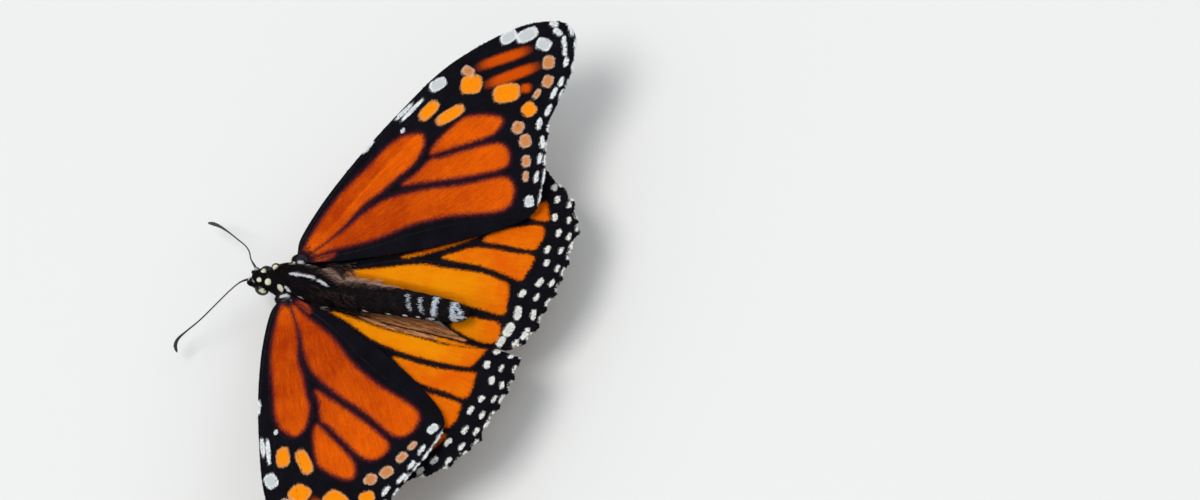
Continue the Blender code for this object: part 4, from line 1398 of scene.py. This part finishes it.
def root_hair(name, wing, count, reach_out, length, seed):
    """Hair on the innermost part of a wing."""
    draw = np.random.default_rng(seed)
    u = draw.uniform(-0.6, reach_out, count)
    low_edge, high_edge = (-0.9, 1.2) if wing["kind"] == "forewing" else (-1.4, 2.4)
    v = draw.uniform(low_edge, high_edge, count) * (0.6 + 0.5 * np.clip(u / reach_out, 0, 1))
    keep = is_inside(u, v, wing["outline"])
    u, v = u[keep], v[keep]
    number = len(u)
    roots, lie, normal = rooted(wing, u, v, 0.1, 0.02, 0.04)
    lie = flattened(lie + draw.normal(0, 0.02, roots.shape), normal)
    size = draw.uniform(0.6, 1.3, number) * (1.1 - 0.5 * np.clip(u / reach_out, 0, 1))
    blades = tufts(roots, normal, lie, length * size, np.full(number, 0.05),
                   0.35 + draw.normal(0, 0.12, number), 0.02 + draw.normal(0, 0.08, number))
    marks = dict(body_markings(roots), tile=draw.uniform(0, 1, number))
    if name == "hindwing_right":
        marks["brown"] = 0.10 + 1.9 * smooth_step((u - 1.0) / 2.0) * smooth_step((v + 0.8) / 1.4)
    if name == "hindwing_left":
        marks["brown"] = np.full(number, -0.45)
    where = 0.1 + 0.8 * (u + 1) / (reach_out + 1), 0.5 + v / 6
    return fur(name + "_root_hair", blades, marks, where)


def flank_hair(side, count, far, brown, seed):
    """Long hair from the side of the body, swept back over the root of the hindwing."""
    draw = np.random.default_rng(seed)
    reach = FLANK_START + (far - FLANK_START) * draw.uniform(0, 1, count) ** 1.2
    rise = draw.uniform(0.0, 1.25, count)
    turn = rise if side == "left" else math.pi - rise
    roots, normal, lie = on_body(reach, turn)
    lie = lie + np.array((0.30 * SIDES[side], 0.0, 0.06)) + draw.normal(0, 0.16, roots.shape)
    size = draw.uniform(0.5, 1.3, count) * (1 - 0.6 * smooth_step((reach - 17) / 6))
    blades = tufts(roots, normal, flattened(lie, normal), 1.9 * size, np.full(count, 0.045),
                   0.60 + draw.normal(0, 0.12, count), 0.16 + draw.normal(0, 0.10, count))
    marks = dict(body_markings(roots), tile=draw.uniform(0, 1, count))
    marks["brown"] = brown * (1 - smooth_step(rise - 0.35)) - 0.4 * smooth_step((13.5 - reach) / 2)
    return fur("flank_hair_" + side, blades, marks, round_the_body(reach, turn))


def strip_hair(side, count, brown, seed):
    """Loose hair on the hindwing's inner part, which lies along the abdomen."""
    draw = np.random.default_rng(seed)
    u = 2.5 + 5.5 * draw.uniform(0, 1, count) ** 1.5
    v = draw.uniform(0.4, 2.6, count)
    roots, lie, normal = rooted(WINGS["hindwing_" + side], u, v, 0.1, -0.01, 0.04)
    lie = flattened(lie + draw.normal(0, 0.012, roots.shape), normal)
    blades = tufts(roots, normal, lie, 2.1 * draw.uniform(0.6, 1.2, count), np.full(count, 0.045),
                   0.30 + draw.normal(0, 0.10, count), 0.03 + draw.normal(0, 0.05, count))
    marks = dict(body_markings(roots), tile=draw.uniform(0.2, 1, count), brown=np.full(count, brown))
    return fur(f"hindwing_{side}_strip_hair", blades, marks, (0.05 + 0.9 * u / 12, 0.5 + v / 8))


tell(flank_hair("left", 1100, far=19.5, brown=-0.50, seed=401), strip_hair("left", 120, 0.3, 411),
     flank_hair("right", 1100, far=25.0, brown=2.2, seed=399), strip_hair("right", 420, 2.4, 409))
for number, (name, wing) in enumerate(WINGS.items()):
    hind = wing["kind"] == "hindwing"
    count = {"hindwing_left": 800, "hindwing_right": 1000}.get(name, 340)
    tell(root_hair(name, wing, count, 4.0 if hind else 1.6, 1.5 if hind else 0.55, 70 + number))

# %% [markdown]
# ## Eyes
#
# A butterfly's eye is a dome of thousands of lenses. They are far too small to see one by one,
# so the dome is smooth and a fine honeycomb in its finish breaks the shine just a little.

# %% Eyes
eye_finish, tree, shader, place = speckled("eye_black", 0.20, 0.22, 900.0, 2.0,
                                           (0.0025, 0.0020, 0.0025, 1), (0.012, 0.008, 0.007, 1))
lenses = add(tree, "ShaderNodeTexVoronoi", {"Vector": place, "Scale": 15000.0}, feature="F1")
bumped(tree, shader, lenses.outputs["Distance"], 0.25, 0.00001)
for side, sign in SIDES.items():
    dome = egg(eye_centre(sign), EYE_RADII - 0.01, 48, 64)
    tell(make_piece("eye_dome_" + side, *dome, [eye_finish], "eye_black", ["eye_" + side]))

# %% [markdown]
# ## Feelers, tongue and palps
#
# The feelers are ringed and end in a club. The tongue is a drinking straw that is rolled up
# like a watch spring when it isn't used. The two palps are furry and stand up in front of the
# face, on each side of it.

# %% Paths of the thin parts
ANTENNA_PATHS = {
    "left": [
        (0.90, -8.28, -1.22), (1.15, -8.85, -1.02), (2.00, -9.50, -0.65), (3.40, -10.40, -0.70),
        (5.30, -11.80, -1.30), (7.90, -14.20, -2.75), (9.60, -16.40, -4.10), (10.70, -17.70, -4.95),
        (11.60, -18.05, -5.55), (12.40, -17.62, -6.06),
    ],
    "right": [
        (-0.84, -8.02, -1.28), (-1.27, -8.54, -0.98), (-1.95, -9.26, -0.62), (-2.91, -9.92, -0.55),
        (-3.81, -11.12, -0.85), (-4.87, -13.36, -1.75), (-6.06, -15.89, -2.95), (-7.08, -18.34, -4.15),
        (-7.61, -20.17, -5.00), (-7.77, -21.42, -5.52),
    ],
}
ANTENNA_RADII = [0.20, 0.17, 0.105, 0.10, 0.10, 0.11, 0.13, 0.21, 0.27, 0.15]
PALP_PATH = [
    (0.45, -7.6, -3.3), (0.52, -8.12, -3.72), (0.7, -8.82, -3.62), (0.8, -9.2, -2.98),
    (0.84, -9.22, -2.4),
]
PALP_RADII = [0.24, 0.25, 0.28, 0.25, 0.12]


def both_sides(path, sign):
    """The left side's path, or its mirror image for the right side."""
    return np.array(path, float) * (sign, 1, 1)


def even_rod(path, radii, pitch):
    """The smooth path and its radii at even distances."""
    rod = smooth(np.hstack([path, np.array(radii)[:, None]]), 12)
    reach = distances(rod[:, :3])
    places = np.linspace(0, reach[-1], int(reach[-1] / pitch) + 2)
    return np.stack([np.interp(places, reach, rod[:, i]) for i in range(4)], 1), places


def rod_tube(rod, sides):
    """The tube of a rod whose fourth column holds its radii."""
    return tube(rod[:, :3], rod[:, 3], sides)


chitin, tree, shader, place = speckled("limb_chitin", 0.38, 0.45, 1500.0, 3.0,
                                       (0.0035, 0.003, 0.005, 1), (0.030, 0.022, 0.030, 1))
bumped(tree, shader, noise(tree, place, 9000.0, 3.0), 0.5, 0.00003)

# %% Feelers
RING_SPACING = 0.42
for side, path in ANTENNA_PATHS.items():
    rod, places = even_rod(np.array(path), ANTENNA_RADII, RING_SPACING / 6)
    rod[:, 3] *= 1 + 0.07 * np.cos(places * 2 * math.pi / RING_SPACING)
    rod[-4:, 3] *= (0.85, 0.65, 0.42, 0.2)
    tell(make_piece("feeler_" + side, *rod_tube(rod, 12), [chitin], "limb_chitin", ["antenna_" + side]))

# %% Tongue
TONGUE_TURNS, TONGUE_OUTER, TONGUE_INNER = 2.6, 0.74, 0.22
TONGUE_MIDDLE = (-8.75, -4.95)  # along and up
straw_finish = speckled("proboscis_chitin", 0.3, 0.5, 3000.0, 2.0, (0.010, 0.006, 0.004, 1),
                        (0.055, 0.028, 0.014, 1))[0]
angle = np.linspace(0, TONGUE_TURNS * 2 * math.pi, 170)
share = angle / angle[-1]
spiral = TONGUE_OUTER + (TONGUE_INNER - TONGUE_OUTER) * share
coil = np.stack([0.05 * np.sin(angle * 0.5), TONGUE_MIDDLE[0] + spiral * np.cos(angle),
                 TONGUE_MIDDLE[1] - spiral * np.sin(angle)], 1)
lead_in = smooth([(0.05, -7.95, -3.35), (0.0, -7.85, -3.9), (0.0, -7.92, -4.5), tuple(coil[0])], 8)[:-1]
path = np.vstack([lead_in, coil])
radii = np.interp(np.arange(len(path)), [0, len(lead_in), len(path) - 1], [0.19, 0.14, 0.06])
tell(make_piece("tongue", *tube(path, radii, 12), [straw_finish], "proboscis_chitin", ["proboscis"]))


# %% Palps
def rod_coat(name, rod, count, length, width, rise, seed):
    """Hair all round a rod, laid towards its tip."""
    draw = np.random.default_rng(seed)
    side, other = frames_along(rod[:, :3])
    reach = draw.uniform(0.05, 0.98, count) * (len(rod) - 1)
    turn = draw.uniform(0, 2 * math.pi, count)

    def along(values):
        steps = np.arange(len(rod))
        return np.stack([np.interp(reach, steps, column) for column in values.T], 1)

    normal = along(side) * np.cos(turn)[:, None] + along(other) * np.sin(turn)[:, None]
    roots = along(rod[:, :3]) + normal * along(rod[:, 3:])
    blades = tufts(roots, normal, along(np.cross(side, other)), length * draw.uniform(0.7, 1.2, count),
                   np.full(count, width), np.full(count, rise), np.full(count, rise * 0.4))
    marks = dict(body_markings(roots), tile=draw.uniform(0, 1, count))
    return fur(name, blades, marks, (turn / (2 * math.pi), reach / (len(rod) - 1)))


for side, sign in SIDES.items():
    rod, _ = even_rod(both_sides(PALP_PATH, sign), PALP_RADII, 0.06)
    tell(skin_piece("palp_core_" + side, rod_tube(rod, 16), 0.5, ["palp_" + side]),
         rod_coat("palp_coat_" + side, rod, 700, length=0.26, width=0.045, rise=0.5, seed=80 + sign))

# %% [markdown]
# ## Legs
#
# The front legs of this family are tiny brushes, folded against the chest, so the insect walks
# on four. Each walking leg has a stout thigh, a spined shin and a foot of five short joints
# with two claws. The foot lies flat on the floor.

# %% Legs
FLOOR_LEVEL = -9.0
LEG_PATHS = {
    "midleg": [(1.30, -0.40, -3.00), (2.60, -1.10, -4.35), (5.40, -1.60, -3.70), (6.60, -1.60, -5.60),
               (7.40, -1.90, -7.90), (7.80, -2.20, -8.80), (8.90, -4.20, -8.86)],
    "hindleg": [(1.30, 3.00, -3.00), (2.50, 4.60, -4.50), (4.90, 9.20, -4.30), (6.10, 12.00, -6.00),
                (7.10, 14.40, -8.00), (7.50, 15.60, -8.80), (8.70, 20.60, -8.86)],
}
LEG_RADII = [0.42, 0.37, 0.25, 0.19, 0.17, 0.17, 0.13]
FORELEG_PATH = [(0.85, -2.60, -3.30), (1.10, -3.90, -4.30), (1.15, -4.90, -4.20), (1.00, -5.30, -3.75)]
FORELEG_RADII = [0.24, 0.24, 0.20, 0.12]
# where along the leg a joint swells it, and by how much; the knee comes apart
FOOT_JOINTS = ((0.10, 0.14), (0.74, 0.16), (0.80, 0.08), (0.85, 0.08), (0.90, 0.08))
KNEES = {"midleg": (0.36, 0.22), "hindleg": (0.42, 0.22)}


def spines(rod, start, end, spacing, length, thickness):
    """Short thorns in two rows along the shin and the foot."""
    ahead = np.cross(*frames_along(rod[:, :3]))
    picks = np.repeat(np.arange(int(start * len(rod)), int(end * len(rod)), spacing), 2)
    number = len(picks)
    swing = np.where(np.arange(number) % 2 == 0, 0.9, -0.9)
    down = unit(np.array(DOWN) - ahead[picks] * (ahead[picks] @ DOWN)[:, None])
    beside = np.cross(ahead[picks], down)
    normal = down * np.cos(swing)[:, None] + beside * np.sin(swing)[:, None]
    on_floor = rod[picks, 2] < FLOOR_LEVEL + 0.4
    normal = np.where(on_floor[:, None], beside * np.sign(swing)[:, None], normal)
    roots = rod[picks, :3] + normal * (rod[picks, 3] * 0.8)[:, None]
    return tufts(roots, normal, ahead[picks], np.full(number, length), np.full(number, thickness),
                 np.full(number, 0.75), np.full(number, 0.55))


def claws(rod):
    """Two hooks at the end of the foot."""
    tip, ahead = rod[-1, :3], unit(rod[-1, :3] - rod[-5, :3])
    beside = np.cross(ahead, (0.0, 0.0, 1.0))
    hooks = []
    for sign in (-1, 1):
        path = [tip + forward * ahead + aside * sign * beside + (0, 0, up)
                for forward, aside, up in ((-0.1, 0, 0), (0.18, 0.12, 0.07), (0.38, 0.20, 0.03),
                                           (0.48, 0.18, -0.07))]
        hook, _ = even_rod(np.array(path), [0.07, 0.055, 0.035, 0.01], 0.04)
        hooks.append(rod_tube(hook, 8))
    return hooks


def walking_leg(name, side):
    """One leg from the chest to the claws, pressed flat on the floor."""
    rod, places = even_rod(both_sides(LEG_PATHS[name], SIDES[side]), LEG_RADII, 0.09)
    share = places / places[-1]
    for joint, swell in FOOT_JOINTS + (KNEES[name],):
        rod[:, 3] *= 1 + swell * np.exp(-((share - joint) / 0.012) ** 2)
    rod[:, 2] = np.maximum(rod[:, 2], FLOOR_LEVEL + rod[:, 3])
    thorns = spines(rod, start=0.42, end=0.97, spacing=4, length=0.34, thickness=0.05)
    points, triangles = joined([rod_tube(rod, 14), thorns] + claws(rod))
    points[:, 2] = np.maximum(points[:, 2], FLOOR_LEVEL)
    label = f"{name}_{side}"
    return make_piece(label + "_limb", points, triangles, [chitin], "limb_chitin", [label])


for side, sign in SIDES.items():
    tell(*(walking_leg(name, side) for name in LEG_PATHS))
    rod, _ = even_rod(both_sides(FORELEG_PATH, sign), FORELEG_RADII, 0.08)
    tell(skin_piece(f"foreleg_{side}_limb", rod_tube(rod, 14), 0.5, [f"foreleg_{side}"]),
         rod_coat(f"foreleg_{side}_coat", rod, 500, length=0.34, width=0.05, rise=0.35, seed=90 + sign))

# %% Sizes
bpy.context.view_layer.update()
shown = [o for o in bpy.data.objects if o.type == "MESH" and not o.hide_render]
print("triangles in all:", sum(len(o.data.polygons) for o in shown))
